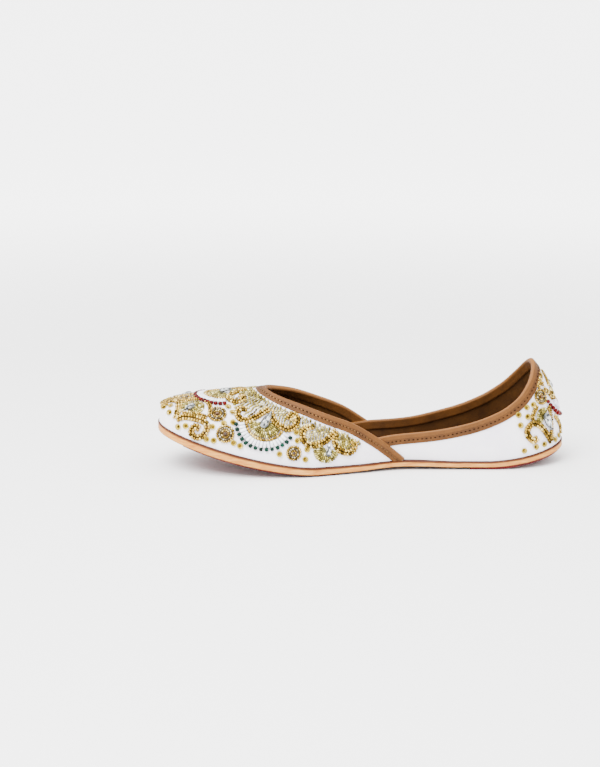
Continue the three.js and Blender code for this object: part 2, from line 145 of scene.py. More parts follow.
outlineX = last["length"] * (1 - np.cos(np.linspace(0, np.pi, 3001))) / 2
outlineY = halfWidth(outlineX)
outlineS = np.concatenate([[0], np.cumsum(np.hypot(np.diff(outlineX), np.diff(outlineY)))])
outlineLength = outlineS[-1]


def outlineAt(s):  # the feather line by its length from the toe's centre, folded over at both ends
    folded = np.where(s < 0, -s, np.where(s > outlineLength, 2 * outlineLength - s, s))
    x, y = np.interp(folded, outlineS, outlineX), np.interp(folded, outlineS, outlineY)
    return x, np.where(folded == s, y, -y)


def lengthAt(x):  # the other way: length along the feather line at x
    return np.interp(x, outlineX, outlineS)


def centreFor(x):
    # Where the section through a feather point meets the centre line: x itself between the ends, and drawn
    # towards one centre at each end by a power that leaves no kink.
    ballX, toeCentre = last["ballX"], last["toeCentre"]
    heelFan = last["length"] - last["heelRound"] - last["heelFan"]
    toeReach, heelReach = ballX - toeCentre, last["heelCentre"] - heelFan
    toe = toeCentre + toeReach * (np.clip(x, 0, ballX) / ballX) ** (ballX / toeReach)
    share = np.clip((last["length"] - x) / (last["length"] - heelFan), 0, 1)
    heel = last["heelCentre"] - heelReach * share ** ((last["length"] - heelFan) / heelReach)
    return np.where(x < ballX, toe, np.where(x > heelFan, heel, x))


def lastPoint(s, turn):
    # Section by section: inward by 1 - cos(turn), up by sin(turn) to a power, on the side of -y.
    footX, footY = outlineAt(s)
    centre = centreFor(footX)
    x = footX + (centre - footX) * (1 - np.abs(np.cos(turn)))
    rise = np.sign(np.sin(turn)) * np.abs(np.sin(turn)) ** (2 / sectionPower(centre))
    base = seat(footX)
    return np.stack([x, -footY * np.cos(turn), base + (crestHeight(x) - base) * rise], -1)


def unit(v):  # each vector over its own length
    return v / np.maximum(np.linalg.norm(v, axis=-1, keepdims=True), 1e-12)


def lastFrame(s, turn):
    # Point, slopes along s and turn by small differences, and outward normal as their cross product.
    small = 1e-3
    here = lastPoint(s, turn)
    alongS = (lastPoint(s + small, turn) - lastPoint(s - small, turn)) / (2 * small)
    alongTurn = (here - lastPoint(s, turn - small)) / small
    return here, alongS, alongTurn, unit(np.cross(alongS, alongTurn))


def turnAtHeight(s, height):  # how far round the section the height is reached, by halving
    low, high = np.full(np.shape(s), -0.6), np.full(np.shape(s), np.pi / 2)
    for _ in range(40):
        middle = (low + high) / 2
        below = lastPoint(s, middle)[..., 2] < height
        low, high = np.where(below, middle, low), np.where(below, high, middle)
    return (low + high) / 2


throatLength = lengthAt(last["vampStart"])


def vampTurn(s):  # the vamp's free edge: the crest in front of the throat, then its side view height
    s = np.asarray(s, float)
    turns = turnAtHeight(s, vampEdgeHeight(outlineAt(s)[0]))
    return np.where(s <= throatLength + 1e-9, np.pi / 2, turns)


def quarterTurn(s):  # the quarter's topline, from its side view height
    return turnAtHeight(np.asarray(s, float), toplineHeight(outlineAt(s)[0]))


def lapAt(x):  # how deep the quarter lies inside the vamp's surface: a smooth step from lapFull to lapNone
    t = np.clip((x - last["lapFull"]) / (last["lapNone"] - last["lapFull"]), 0, 1)
    return last["lapDepth"] * (1 - t * t * (3 - 2 * t))


def flush(s):  # no depth
    return np.zeros(np.shape(s))


def mirror(points):  # the other side
    return points * np.array([1, -1, 1])


def makePiece(name, points, faces, material, nodes=(), attributes=(), smooth=True, weld=0.0, sharp=0):
    # Points in millimetres on the last, less half its length, over 1000 are the piece's vertices in metres.
    verts = (np.asarray(points).reshape(-1, 3) - [last["length"] / 2, 0, 0]) / 1000
    mesh = bpy.data.meshes.new(name)
    mesh.from_pydata(verts.tolist(), [], faces if isinstance(faces, list) else faces.tolist())
    for key, values in dict(attributes).items():
        layer = mesh.attributes.new(key, "FLOAT", "POINT")
        layer.data.foreach_set("value", np.asarray(values, np.float32).ravel())
    if weld:
        work = bmesh.new()
        work.from_mesh(mesh)
        bmesh.ops.remove_doubles(work, verts=work.verts, dist=weld / 1000)
        bmesh.ops.recalc_face_normals(work, faces=work.faces)
        work.to_mesh(mesh)
        work.free()
    mesh.update()
    mesh.polygons.foreach_set("use_smooth", np.full(len(mesh.polygons), smooth))
    if sharp:
        mesh.set_sharp_from_angle(angle=math.radians(sharp))
    mesh.materials.append(material)
    piece = bpy.data.objects.new(name, mesh)
    bpy.context.scene.collection.objects.link(piece)
    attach(piece, "root")
    for node in nodes:
        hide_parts(node)
    return piece


def gridFaces(rows, columns, wrap=False, flip=False):
    # Quads of a grid stored row by row: corner k, the one below, its neighbour and the neighbour of k.
    i, j = np.meshgrid(np.arange(rows - 1), np.arange(columns - (0 if wrap else 1)), indexing="ij")
    a, b = i * columns + j, i * columns + (j + 1) % columns
    quads = np.stack([a, a + columns, b + columns, b], -1).reshape(-1, 4)
    return quads[:, ::-1] if flip else quads


def scatter(template, centres, along, normals, sizes):
    # One copy of the template at each centre: centre + vertex times (along, across, normal) times the sizes.
    verts, groups = template
    count = len(centres)
    across = unit(np.cross(normals, along))
    axes = np.stack([along, across, normals], 1) * np.broadcast_to(sizes, (count, 3))[..., None]
    points = centres[:, None] + np.einsum("vk,nkx->nvx", verts, axes)
    shift = (np.arange(count) * len(verts))[:, None, None]
    faces = []
    for group in groups:
        faces += (group[None] + shift).reshape(-1, group.shape[1]).tolist()
    return points.reshape(-1, 3), faces


def lathe(profile, segments, axis=0):
    # Rows of height h and radius r turned about one axis: (h, r cos a, r sin a), both ends closed by a fan.
    heights, radii = np.array(profile, float)[..., None].transpose(1, 0, 2)
    angles = np.arange(segments) * 2 * np.pi / segments
    rings = np.stack(np.broadcast_arrays(heights, radii * np.cos(angles), radii * np.sin(angles)), -1)
    ends = np.array([[profile[0][0], 0, 0], [profile[-1][0], 0, 0]])
    verts = np.concatenate([rings.reshape(-1, 3), ends])
    first, top = rings.shape[0] * segments, (rings.shape[0] - 1) * segments
    k = np.arange(segments)
    following = (k + 1) % segments
    fans = np.concatenate([
        np.column_stack([np.full(segments, first), following, k]),
        np.column_stack([np.full(segments, first + 1), top + k, top + following]),
    ])
    return np.roll(verts, axis, axis=1), [fans, gridFaces(len(profile), segments, wrap=True, flip=True)]


# unit shapes with a few dozen faces each; sizes in millimetres are given where they are placed
beadShape = lathe([(-0.46, 0.24), (-0.36, 0.43), (0, 0.5), (0.36, 0.43), (0.46, 0.24)], 8)
bugleShape = lathe([(-0.5, 0.36), (-0.42, 0.5), (0.42, 0.5), (0.5, 0.36)], 6)
capsuleShape = lathe([(-0.5, 0.2), (-0.38, 0.46), (0.38, 0.46), (0.5, 0.2)], 6)
cup = [(-0.02, 0.2), (0.02, 0.34), (0.2, 0.5), (0.26, 0.5), (0.1, 0.34), (0.07, 0.26), (0.02, 0.16)]
sequinShape = lathe(cup, 16, axis=2)
print("shapes ready")


def hexColour(text):  # sRGB hex to linear
    values = [int(text[k:k + 2], 16) / 255 for k in (1, 3, 5)]
    return tuple(v / 12.92 if v <= 0.04045 else ((v + 0.055) / 1.055) ** 2.4 for v in values) + (1.0,)


def addNode(tree, kind, sockets=(), stops=(), **settings):
    # sockets: name or number to a value or to another node's output; stops: a ramp's places and hex colours
    node = tree.nodes.new(kind)
    for key, value in settings.items():
        setattr(node, key, value)
    for key, value in dict(sockets).items():
        if isinstance(value, bpy.types.NodeSocket):
            tree.links.new(value, node.inputs[key])
        else:
            node.inputs[key].default_value = value
    if stops:
        elements = node.color_ramp.elements
        for element, (place, colour) in zip((elements[0], elements[-1]), (stops[0], stops[-1])):
            element.position, element.color = place, hexColour(colour)
        for place, colour in stops[1:-1]:
            elements.new(place).color = hexColour(colour)
    return node


def newMaterial(name, shader):  # a principled surface with its fixed values, joined to the output
    material = bpy.data.materials.new(name)
    material.use_nodes = True
    tree = material.node_tree
    tree.nodes.clear()
    surface = addNode(tree, "ShaderNodeBsdfPrincipled", shader)
    addNode(tree, "ShaderNodeOutputMaterial", {0: surface.outputs[0]})
    return material, tree, surface


def satinMaterial():
    # Woven polyester satin: smooth, a soft sheen, faint lilac in its shadows, fine threads.
    material, tree, surface = newMaterial("satinWovenWhite", {
        "Roughness": 0.42, "Sheen Weight": 0.25, "Sheen Roughness": 0.4, "Specular IOR Level": 0.45,
    })
    place = addNode(tree, "ShaderNodeTexCoord").outputs["Object"]
    patches = {"Vector": place, "Scale": 1000 / 14.3, "Detail": 3.0, "Roughness": 0.6}  # mm across
    tint = addNode(tree, "ShaderNodeTexNoise", patches).outputs[0]
    ramp = addNode(tree, "ShaderNodeValToRGB", {0: tint}, [(0.3, "#EFE9F4"), (0.7, "#FBF8FD")])
    tree.links.new(ramp.outputs[0], surface.inputs["Base Color"])
    # threads 0.25 mm apart are drawn about 1 mm apart, so that they show; a wave repeats every pi / 10 over
    # its scale
    threads = {"Vector": place, "Scale": 1000 / 0.986 * math.pi / 10, "Distortion": 1.2}
    weft = addNode(tree, "ShaderNodeTexWave", threads, bands_direction="Z").outputs[1]
    warp = addNode(tree, "ShaderNodeTexWave", threads, bands_direction="X").outputs[1]
    cloth = addNode(tree, "ShaderNodeMath", {0: weft, 1: warp}, operation="MAXIMUM").outputs[0]
    puckers = {"Vector": place, "Scale": 1000 / 6.25, "Detail": 2.0, "Roughness": 0.5}
    lumps = addNode(tree, "ShaderNodeTexNoise", puckers).outputs[0]
    soft = addNode(tree, "ShaderNodeBump", {"Height": lumps, "Distance": 0.0012, "Strength": 0.35}).outputs[0]
    relief = {"Height": cloth, "Distance": 0.00008, "Strength": 0.5, "Normal": soft}
    tree.links.new(addNode(tree, "ShaderNodeBump", relief).outputs[0], surface.inputs["Normal"])
    return material


def leatherMaterial(name, dark, light, rough, grain, highlightColour=None, specks=0.5):
    # Leather: pores grain mm apart, dye uneven over about 11 mm, and, where a colour for it is given, a
    # painted highlight on the rounded edges that an attribute marks.
    material, tree, surface = newMaterial(name, {"Roughness": rough, "Specular IOR Level": 0.2})
    place = addNode(tree, "ShaderNodeTexCoord").outputs["Object"]
    dye = {"Vector": place, "Scale": 1000 / 11.1, "Detail": 4.0, "Roughness": 0.65}
    uneven = addNode(tree, "ShaderNodeTexNoise", dye).outputs[0]
    colour = addNode(tree, "ShaderNodeValToRGB", {0: uneven}, [(0.32, dark), (0.68, light)]).outputs[0]
    pits = {"Vector": place, "Scale": 1000 / grain}
    pores = addNode(tree, "ShaderNodeTexVoronoi", pits).outputs["Distance"]
    # wrinkles are finer than the pores
    wrinkles = {"Vector": place, "Scale": 1600 / grain, "Detail": 3.0, "Roughness": 0.6}
    fine = addNode(tree, "ShaderNodeTexNoise", wrinkles).outputs[0]
    speck = addNode(tree, "ShaderNodeValToRGB", {0: fine}, [(0.35, "#8C8C8C"), (0.6, "#FFFFFF")]).outputs[0]
    mixed = {0: specks, 6: colour, 7: speck}
    colour = addNode(tree, "ShaderNodeMix", mixed, data_type="RGBA", blend_type="MULTIPLY").outputs[2]
    if highlightColour:
        # painted highlight: the marked edges are mixed towards a lighter colour
        edgeHighlight = addNode(tree, "ShaderNodeAttribute", attribute_name="edgeHighlight").outputs["Fac"]
        mixed = {0: edgeHighlight, 6: colour, 7: hexColour(highlightColour)}
        colour = addNode(tree, "ShaderNodeMix", mixed, data_type="RGBA").outputs[2]
    tree.links.new(colour, surface.inputs["Base Color"])
    relief = {"Height": pores, "Distance": 0.00015, "Strength": 0.35}
    dents = addNode(tree, "ShaderNodeBump", relief).outputs[0]
    relief = {"Height": fine, "Distance": 0.0002, "Strength": 0.35, "Normal": dents}
    tree.links.new(addNode(tree, "ShaderNodeBump", relief).outputs[0], surface.inputs["Normal"])
    return material


def soleMaterial():
    # Vegetable-tanned sole leather: a pale cut edge in layers 1.1 mm thick, darker at its top and bottom
    # corners: painted shade along the floor, and at the top burnish with painted shade where the upper joins.
    material, tree, surface = newMaterial("soleLeatherVegetableTanned", {
        "Roughness": 0.55, "Specular IOR Level": 0.15,
    })
    place = addNode(tree, "ShaderNodeTexCoord").outputs["Object"]
    drawn = addNode(tree, "ShaderNodeMapping", {"Vector": place, "Scale": (0.12, 0.12, 1.0)}).outputs[0]
    sheets = {"Vector": drawn, "Scale": 1000 / 1.11, "Detail": 4.0, "Roughness": 0.6}
    layers = addNode(tree, "ShaderNodeTexNoise", sheets).outputs[0]
    stops = [(0.3, "#B46E2A"), (0.5, "#CE8C3E"), (0.7, "#E3AA58")]
    tan = addNode(tree, "ShaderNodeValToRGB", {0: layers}, stops)
    blots = {"Vector": place, "Scale": 1000 / 9.1, "Detail": 3.0, "Roughness": 0.6}
    stain = addNode(tree, "ShaderNodeTexNoise", blots).outputs[0]
    share = addNode(tree, "ShaderNodeMath", {0: stain, 1: 0.5}, operation="MULTIPLY").outputs[0]
    mixed = {0: share, 6: tan.outputs[0], 7: hexColour("#A8682E")}
    tan = addNode(tree, "ShaderNodeMix", mixed, data_type="RGBA").outputs[2]
    # band runs from 0 at the bottom of the edge to 1 at its top, and the stain makes the burnish and painted
    # shade wander
    band = addNode(tree, "ShaderNodeAttribute", attribute_name="band").outputs["Fac"]
    wander = addNode(tree, "ShaderNodeMath", {0: stain, 1: 0.16, 2: -0.08},
                     operation="MULTIPLY_ADD").outputs[0]
    level = addNode(tree, "ShaderNodeMath", {0: band, 1: wander}, operation="ADD").outputs[0]
    # dark at both ends of the band: painted shade at the bottom, burnish and painted shade at the top
    burnishAndShade = addNode(tree, "ShaderNodeValToRGB", {0: level}, [
        (0.0, "#FFFFFF"), (0.05, "#DADADA"), (0.14, "#000000"), (0.68, "#000000"), (0.78, "#CBCBCB"),
        (0.88, "#FFFFFF"),
    ]).outputs[0]
    mixed = {0: burnishAndShade, 6: tan, 7: hexColour("#431C08")}
    colour = addNode(tree, "ShaderNodeMix", mixed, data_type="RGBA").outputs[2]
    tree.links.new(colour, surface.inputs["Base Color"])
    relief = {"Height": layers, "Distance": 0.0002, "Strength": 0.5}
    tree.links.new(addNode(tree, "ShaderNodeBump", relief).outputs[0], surface.inputs["Normal"])
    return material


def beadMaterial(name, stops, rough, metallic=0.0, coat=0.0, shine=0.5):
    # Beads differ a little from one to the next: each has a tone from 0 to 1, and stops colour the tones.
    material, tree, surface = newMaterial(name, {
        "Roughness": rough, "Metallic": metallic, "Coat Weight": coat, "Specular IOR Level": shine,
    })
    tone = addNode(tree, "ShaderNodeAttribute", attribute_name="tone").outputs["Fac"]
    ramp = addNode(tree, "ShaderNodeValToRGB", {0: tone}, stops)
    tree.links.new(ramp.outputs[0], surface.inputs["Base Color"])
    return material


satin = satinMaterial()
# leathers: tan strip with a painted highlight on its fold, smooth brown lining and sock, red dyed pads with a
# dull shine
bindingLeather = leatherMaterial("bindingLeatherTan", "#482A0D", "#5F3912", 0.62, 0.6, "#7E5022")
liningLeather = leatherMaterial("liningLeatherBrown", "#38200A", "#4D2F0F", 0.6, 0.9, specks=0.35)
insoleLeather = leatherMaterial("insoleLeatherBrown", "#3A2009", "#54330F", 0.6, 1.0, specks=0.35)
padLeather = leatherMaterial("padLeatherRed", "#4C0504", "#6A0C08", 0.5, 0.9, specks=0.4)
soleLeather = soleMaterial()
# pressed glass lined with gold: a bright metal, brown where it turns from the light
goldBead = beadMaterial("seedBeadGoldLined", [
    (0.0, "#42300E"), (0.3, "#866A26"), (0.7, "#B4923E"), (1.0, "#E0C97C"),
], 0.24, 1.0)
# cut glass tubes lined with pale gold: greener than the seed beads and part glassy
paleBead = beadMaterial("bugleBeadPaleGold", [
    (0.0, "#4A3C0A"), (0.35, "#837328"), (0.75, "#B0A050"), (1.0, "#E6E0B4"),
], 0.24, 0.7, 0.1)
# drawn opaque glass: chalk white under a clear gloss, and deep green and red with small sharp lights
whiteBead = beadMaterial("glassBeadWhite", [(0.0, "#DCDDE6"), (0.5, "#F2F2F6"), (1.0, "#FFFFFF")], 0.18,
                         coat=0.5)
greenBead = beadMaterial("glassBeadGreen", [(0.0, "#00180F"), (1.0, "#003224")], 0.12, shine=0.12)
redBead = beadMaterial("glassBeadRed", [(0.0, "#340001"), (1.0, "#5E0003")], 0.12, shine=0.12)
# tarnished silver lining: brownish grey with pale glints
silverBead = beadMaterial("seedBeadSilverLined", [(0.0, "#2A2014"), (0.5, "#6E6248"), (1.0, "#BDB298")], 0.22,
                          0.75)
# punched metallised film: yellow and softly shiny, with painted shade in the cup
sequinGold = beadMaterial("sequinMetallisedPlastic", [
    (0.0, "#2A1E04"), (0.35, "#68540C"), (0.7, "#9C8214"), (1.0, "#BCA232"),
], 0.3, 0.45, 0.2)
# moulded smoky glass, and foil-backed cut crystal whose facets carry painted reflections from near black to
# white
stoneSmoke = beadMaterial("glassStoneSmoke", [(0.0, "#2A1404"), (1.0, "#5E3A18")], 0.12, 0.5, 0.5)
crystalGlass = beadMaterial("crystalFoilBacked", [
    (0.0, "#14161A"), (0.35, "#4C5256"), (0.65, "#C6CAC6"), (1.0, "#FFFFFF"),
], 0.05, 0.7, 1.0)
# spun cotton: matt, tan and off-white; metal wrapped cord: dull and dark between the beads, where the gold
# cord's dark brown is partly painted shade
threadTan = beadMaterial("threadCottonTan", [(0.0, "#5A3A16"), (1.0, "#8A6530")], 0.8)
threadWhite = beadMaterial("threadCottonWhite", [(0.0, "#D8D2C4"), (1.0, "#F2EEE4")], 0.8)
# the gold cord is partly real couching and partly painted shade: its dark brown shows as the shade between
# and beside the beads
goldCordAndShade = beadMaterial("cordMetallicWithPaintedShade", [(0.0, "#3A270B"), (1.0, "#6B4C18")], 0.5, 0.4)
paleCord = beadMaterial("cordMetallicPaleUnderBeads", [(0.0, "#4A4416"), (1.0, "#7C7436")], 0.5, 0.4)
# punched holes: nothing but shadow
needleHole = beadMaterial("needleHoleShadow", [(0.0, "#120803"), (1.0, "#1E0F06")], 1.0, shine=0.0)
print("materials ready")

upperShape = {
    "satinThickness": 0.8, "liningThickness": 0.65, "between": 0.05,
    "vampStations": 150, "quarterStations": 300, "rows": 44,
    "leastTurn": 0.015,  # at the vamp's rear tip, where its height runs out
    "sharpEdge": 50,  # degrees
}


def outward(s, turn):  # normals of the last, steadied at the crest where the stations meet
    return lastFrame(s, np.minimum(turn, np.pi / 2 - 0.01))[3]


def frayed(s):
    # The cut lower edge wanders a little behind the ball: three sines of x, faded out at both ends.
    x = outlineAt(s)[0]
    wander = 0.5 + 0.25 * np.sin(x * 1.1) + 0.17 * np.sin(x * 2.7 + 1) + 0.08 * np.sin(x * 6.1 + 2)
    return 0.0035 * wander * np.clip((x - 80) / 15, 0, 1) * np.clip((150 - x) / 10, 0, 1)


def shellGrid(stations, edgeTurn, rows, depths):
    # Sheet between two depths: rows up the section from the feather line to the edge, sunk along the normal.
    rise = np.sin(np.linspace(0, 1, rows) * np.pi / 2) ** 0.85
    turn = edgeTurn[None] * rise[:, None]
    turn[0] += frayed(stations)
    s = np.broadcast_to(stations, turn.shape)
    points, normals = lastPoint(s, turn), outward(s, turn)
    crest = turn > np.pi / 2 - 1e-6
    sheets = [points - normals * depth[..., None] for depth in depths]
    for sheet in sheets:
        sheet[..., 1] = np.where(crest, 0, sheet[..., 1])
    return sheets


def shellPiece(name, stations, edgeTurn, depths, material):
    # A closed sheet: outer and inner grids joined by four rims.
    rows = upperShape["rows"]
    outer, inner = shellGrid(stations, edgeTurn, rows, depths)
    columns = len(stations)
    count = rows * columns
    faces = [gridFaces(rows, columns, flip=True), gridFaces(rows, columns) + count]
    i, j = np.arange(columns - 1), np.arange(rows - 1)
    low = np.stack([i, i + 1, i + 1 + count, i + count], -1)
    high = (low + (rows - 1) * columns)[:, ::-1]
    belowCrest = edgeTurn < np.pi / 2 - 1e-6
    high = high[belowCrest[:-1] | belowCrest[1:]]
    left = np.stack([j * columns, j * columns + count, (j + 1) * columns + count, (j + 1) * columns], -1)
    right = (left + columns - 1)[:, ::-1]
    points = np.concatenate([outer.reshape(-1, 3), inner.reshape(-1, 3)])
    faces = np.concatenate(faces + [low, high, left, right])
    return makePiece(name, points, faces, material, ["upper"], weld=0.002,
                     sharp=upperShape["sharpEdge"])


def spacing(start, end, count, power=1.0):  # closer together near the start where power is above 1
    return start + (end - start) * np.linspace(0, 1, count) ** power


vampReach = lengthAt(last["vampEnd"])
halfVamp = np.concatenate([
    spacing(0, throatLength, upperShape["vampStations"] // 2),
    spacing(throatLength, vampReach, upperShape["vampStations"] // 2, 1.6)[1:],
])
vampStations = np.concatenate([-halfVamp[:0:-1], halfVamp])
quarterReach = lengthAt(last["quarterStart"])
quarterStations = spacing(quarterReach, 2 * outlineLength - quarterReach, upperShape["quarterStations"])
quarterInset = lapAt(outlineAt(quarterStations)[0])
vampEdgeTurns = np.maximum(vampTurn(np.abs(vampStations)), upperShape["leastTurn"])
quarterEdgeTurns = quarterTurn(quarterStations)
satinDepth = upperShape["satinThickness"]
liningTop = satinDepth + upperShape["between"]
liningDepth = liningTop + upperShape["liningThickness"]


def sheetDepths(inset, top, bottom):  # outer and inner depths of a sheet below the last's surface
    return [np.broadcast_to(inset + depth, (upperShape["rows"], len(inset))) for depth in (top, bottom)]


vampInset = flush(vampStations)
vampSheets = sheetDepths(vampInset, 0, satinDepth), sheetDepths(vampInset, liningTop, liningDepth)
quarterSheets = sheetDepths(quarterInset, 0, satinDepth), sheetDepths(quarterInset, liningTop, liningDepth)
shellPiece("vampSatin", vampStations, vampEdgeTurns, vampSheets[0], satin)
shellPiece("vampLining", vampStations, vampEdgeTurns, vampSheets[1], liningLeather)
shellPiece("quarterSatin", quarterStations, quarterEdgeTurns, quarterSheets[0], satin)
shellPiece("quarterLining", quarterStations, quarterEdgeTurns, quarterSheets[1], liningLeather)
print("upper done")

soleShape = {
    "stations": 220, "cornerSteps": 5, "spokes": 9, "sharpEdge": 60,
    "round": 0.7, "padRound": 0.35, "insoleRound": 0.5,  # corner radii
    "padGap": 0.05, "forefootInset": 2.6, "forefootFront": 13, "forefootEnd": 106, "heelInset": 1.4,
    "heelStart": 188,
    "insoleThickness": 1.6, "insoleGap": 0.1, "lapFrom": 96, "lapOver": 20,
}


def featherFrame(s):  # the feather line's points and outward plan normals, a quarter turn from its run
    x, y = outlineAt(s)
    ahead, behind = np.stack(outlineAt(s + 0.2)), np.stack(outlineAt(s - 0.2))
    run = unit((ahead - behind).T)
    return np.stack([x, y], -1), np.stack([-run[:, 1], run[:, 0]], -1)


def layerPiece(name, out, low, high, corner, material, node, start=None, end=None, front=-1e3):
    # A slab round the feather line: spokes from the centre line out to a rim with quarter-round corners.
    # It goes all the way round, or from x = start round the heel, or round the toe to x = end, and its cut
    # faces are flat.
    if start is not None:
        s = spacing(lengthAt(start), 2 * outlineLength - lengthAt(start), soleShape["stations"])
    elif end is not None:
        s = spacing(-lengthAt(end), lengthAt(end), soleShape["stations"])
    else:
        s = spacing(-outlineLength, outlineLength, 2 * soleShape["stations"] + 1)[:-1]
    whole = start is None and end is None
    feather, normals = featherFrame(s)
    feather, normals = feather * [1, -1], normals * [1, -1]
    rim = feather + normals * out(feather[:, 0])[:, None]
    rim[:, 0] = np.maximum(rim[:, 0], front)
    middle = np.stack([centreFor(feather[:, 0]), np.zeros(len(s))], -1)
    angles = np.linspace(0, np.pi / 2, soleShape["cornerSteps"])
    inward = unit(middle - rim)
    rows, bands = [], []

    def addRow(plan, share, drop):  # share 1 is the top, 0 the bottom, drop a height off it
        bottom, top = low(plan[:, 0]), high(plan[:, 0])
        z = bottom + (top - bottom) * share + drop
        rows.append(np.column_stack([plan, z]))
        bands.append(np.clip((z - bottom) / np.maximum(top - bottom, 1e-6), 0, 1))

    shoulder = rim + inward * corner
    for u in np.linspace(0, 1, soleShape["spokes"]):
        addRow(middle + (shoulder - middle) * u, 1, 0)
    for a in angles[1:]:
        addRow(rim + inward * corner * (1 - np.sin(a)), 1, -corner * (1 - np.cos(a)))
    addRow(rim, 0.5, 0)
    for a in angles[::-1][:-1]:
        addRow(rim + inward * corner * (1 - np.sin(a)), 0, corner * (1 - np.cos(a)))
    for u in np.linspace(1, 0, soleShape["spokes"]):
        addRow(middle + (shoulder - middle) * u, 0, 0)
    faces = gridFaces(len(rows), len(s), wrap=whole).tolist()
    if not whole:
        ends = np.arange(len(rows)) * len(s)
        faces += [ends.tolist(), (ends + len(s) - 1)[::-1].tolist()]
    return makePiece(name, np.concatenate(rows), faces, material, [node],
                     {"band": np.concatenate(bands)}, weld=0.004, sharp=soleShape["sharpEdge"])


def padTop(x):
    return soleBottom(x) - soleShape["padGap"]


def forefootOut(x):  # the pads stay inside the sole's edge
    return soleLedge(x) - soleShape["forefootInset"]


def heelPadOut(x):
    return soleLedge(x) - soleShape["heelInset"]


def insoleTop(x):
    return seat(x) + soleShape["insoleThickness"]


def insoleOut(x):  # inside the wall, and further inside where the quarter laps the vamp's inner face
    lap = np.where(x < last["quarterStart"], last["lapDepth"], lapAt(x))
    lapped = np.clip((x - soleShape["lapFrom"]) / soleShape["lapOver"], 0, 1) * lap
    return -(last["wall"] + soleShape["insoleGap"] + lapped)


layerPiece("sole", soleLedge, soleBottom, soleTop, soleShape["round"], soleLeather, "sole")
layerPiece("forefootPad", forefootOut, treadHeight, padTop, soleShape["padRound"], padLeather,
           "forefoot_pad", end=soleShape["forefootEnd"], front=soleShape["forefootFront"])
layerPiece("heelPad", heelPadOut, treadHeight, padTop, soleShape["padRound"], padLeather,
           "heel_pad", start=soleShape["heelStart"])
layerPiece("insole", insoleOut, seat, insoleTop, soleShape["insoleRound"], insoleLeather,
           "insole")
print("sole done")

bindingShape = {
    "proud": 0.85,  # leather above satin and below lining
    "crown": 0.9,  # how far the fold bulges past the free edge
    "profileSteps": 9, "grooveAt": 3.4, "grooveDepth": 0.16,  # the groove that the stitches pull
    "step": 1.1, "sharpEdge": 60,
}


def slide(s, turn, step):
    # Parameters after a small step along the surface: the two by two system of the slopes' dot products.
    _, alongS, alongTurn, _ = lastFrame(s, turn)
    ss, st, tt = (alongS * alongS).sum(-1), (alongS * alongTurn).sum(-1), (alongTurn * alongTurn).sum(-1)
    bs, bt = (step * alongS).sum(-1), (step * alongTurn).sum(-1)
    det = ss * tt - st * st
    return s + (bs * tt - bt * st) / det, turn + (bt * ss - bs * st) / det


class Edge:
    # A free edge of the upper. A place is given by length along it, distance in from it and depth below it: a
    # slide over the last from the edge's point, then a step down the normal.
    def __init__(self, stations, turns, inset, tangentAtStart=None, tangentAtEnd=None):
        self.s, self.turn, self.inset = stations, turns, inset
        points = lastPoint(stations, turns)
        tangent = np.gradient(points, axis=0)
        if tangentAtStart is not None:
            tangent[0] = tangentAtStart
        if tangentAtEnd is not None:
            tangent[-1] = tangentAtEnd
        self.tangent = unit(tangent)
        steps = np.linalg.norm(np.diff(points, axis=0), axis=1)
        self.length = np.concatenate([[0], np.cumsum(steps)])

    def at(self, length, distance, depth):  # point, tangent and normal
        given = (np.asarray(v, float) for v in (length, distance, depth))
        length, distance, depth = np.broadcast_arrays(*given)
        s, turn = np.interp(length, self.length, self.s), np.interp(length, self.length, self.turn)
        tangent = unit(np.stack([np.interp(length, self.length, self.tangent[:, k]) for k in range(3)], -1))
        inset = np.interp(length, self.length, self.inset)
        turn = np.minimum(turn, np.pi / 2 - 1e-4)
        normal = lastFrame(s, turn)[3]
        inward = unit(np.cross(tangent, normal))
        moved = slide(s, turn, inward * distance[..., None])
        there = np.minimum(moved[1], np.pi / 2 - 0.002)
        point = lastPoint(moved[0], moved[1])
        normal = lastFrame(moved[0], there)[3]
        return point - normal * (inset + depth)[..., None], tangent, normal


def marchFrom(edge, lengths, distances):
    # Rows of places further and further from the edge, in steps of 1 mm or less that follow the surface.
    s, turn = np.interp(lengths, edge.length, edge.s), np.interp(lengths, edge.length, edge.turn)
    tangent = unit(np.stack([np.interp(lengths, edge.length, edge.tangent[:, k]) for k in range(3)], -1))
    turn = np.minimum(turn, np.pi / 2 - 1e-3)
    found, reached = [], 0.0
    for distance in distances:
        steps = max(1, math.ceil(distance - reached))
        for _ in range(steps):
            inward = unit(np.cross(tangent, outward(s, turn)))
            s, turn = slide(s, turn, inward * (distance - reached) / steps)
        reached = distance
        found.append((s.copy(), turn.copy()))
    return np.stack([f[0] for f in found], 1), np.stack([f[1] for f in found], 1), tangent


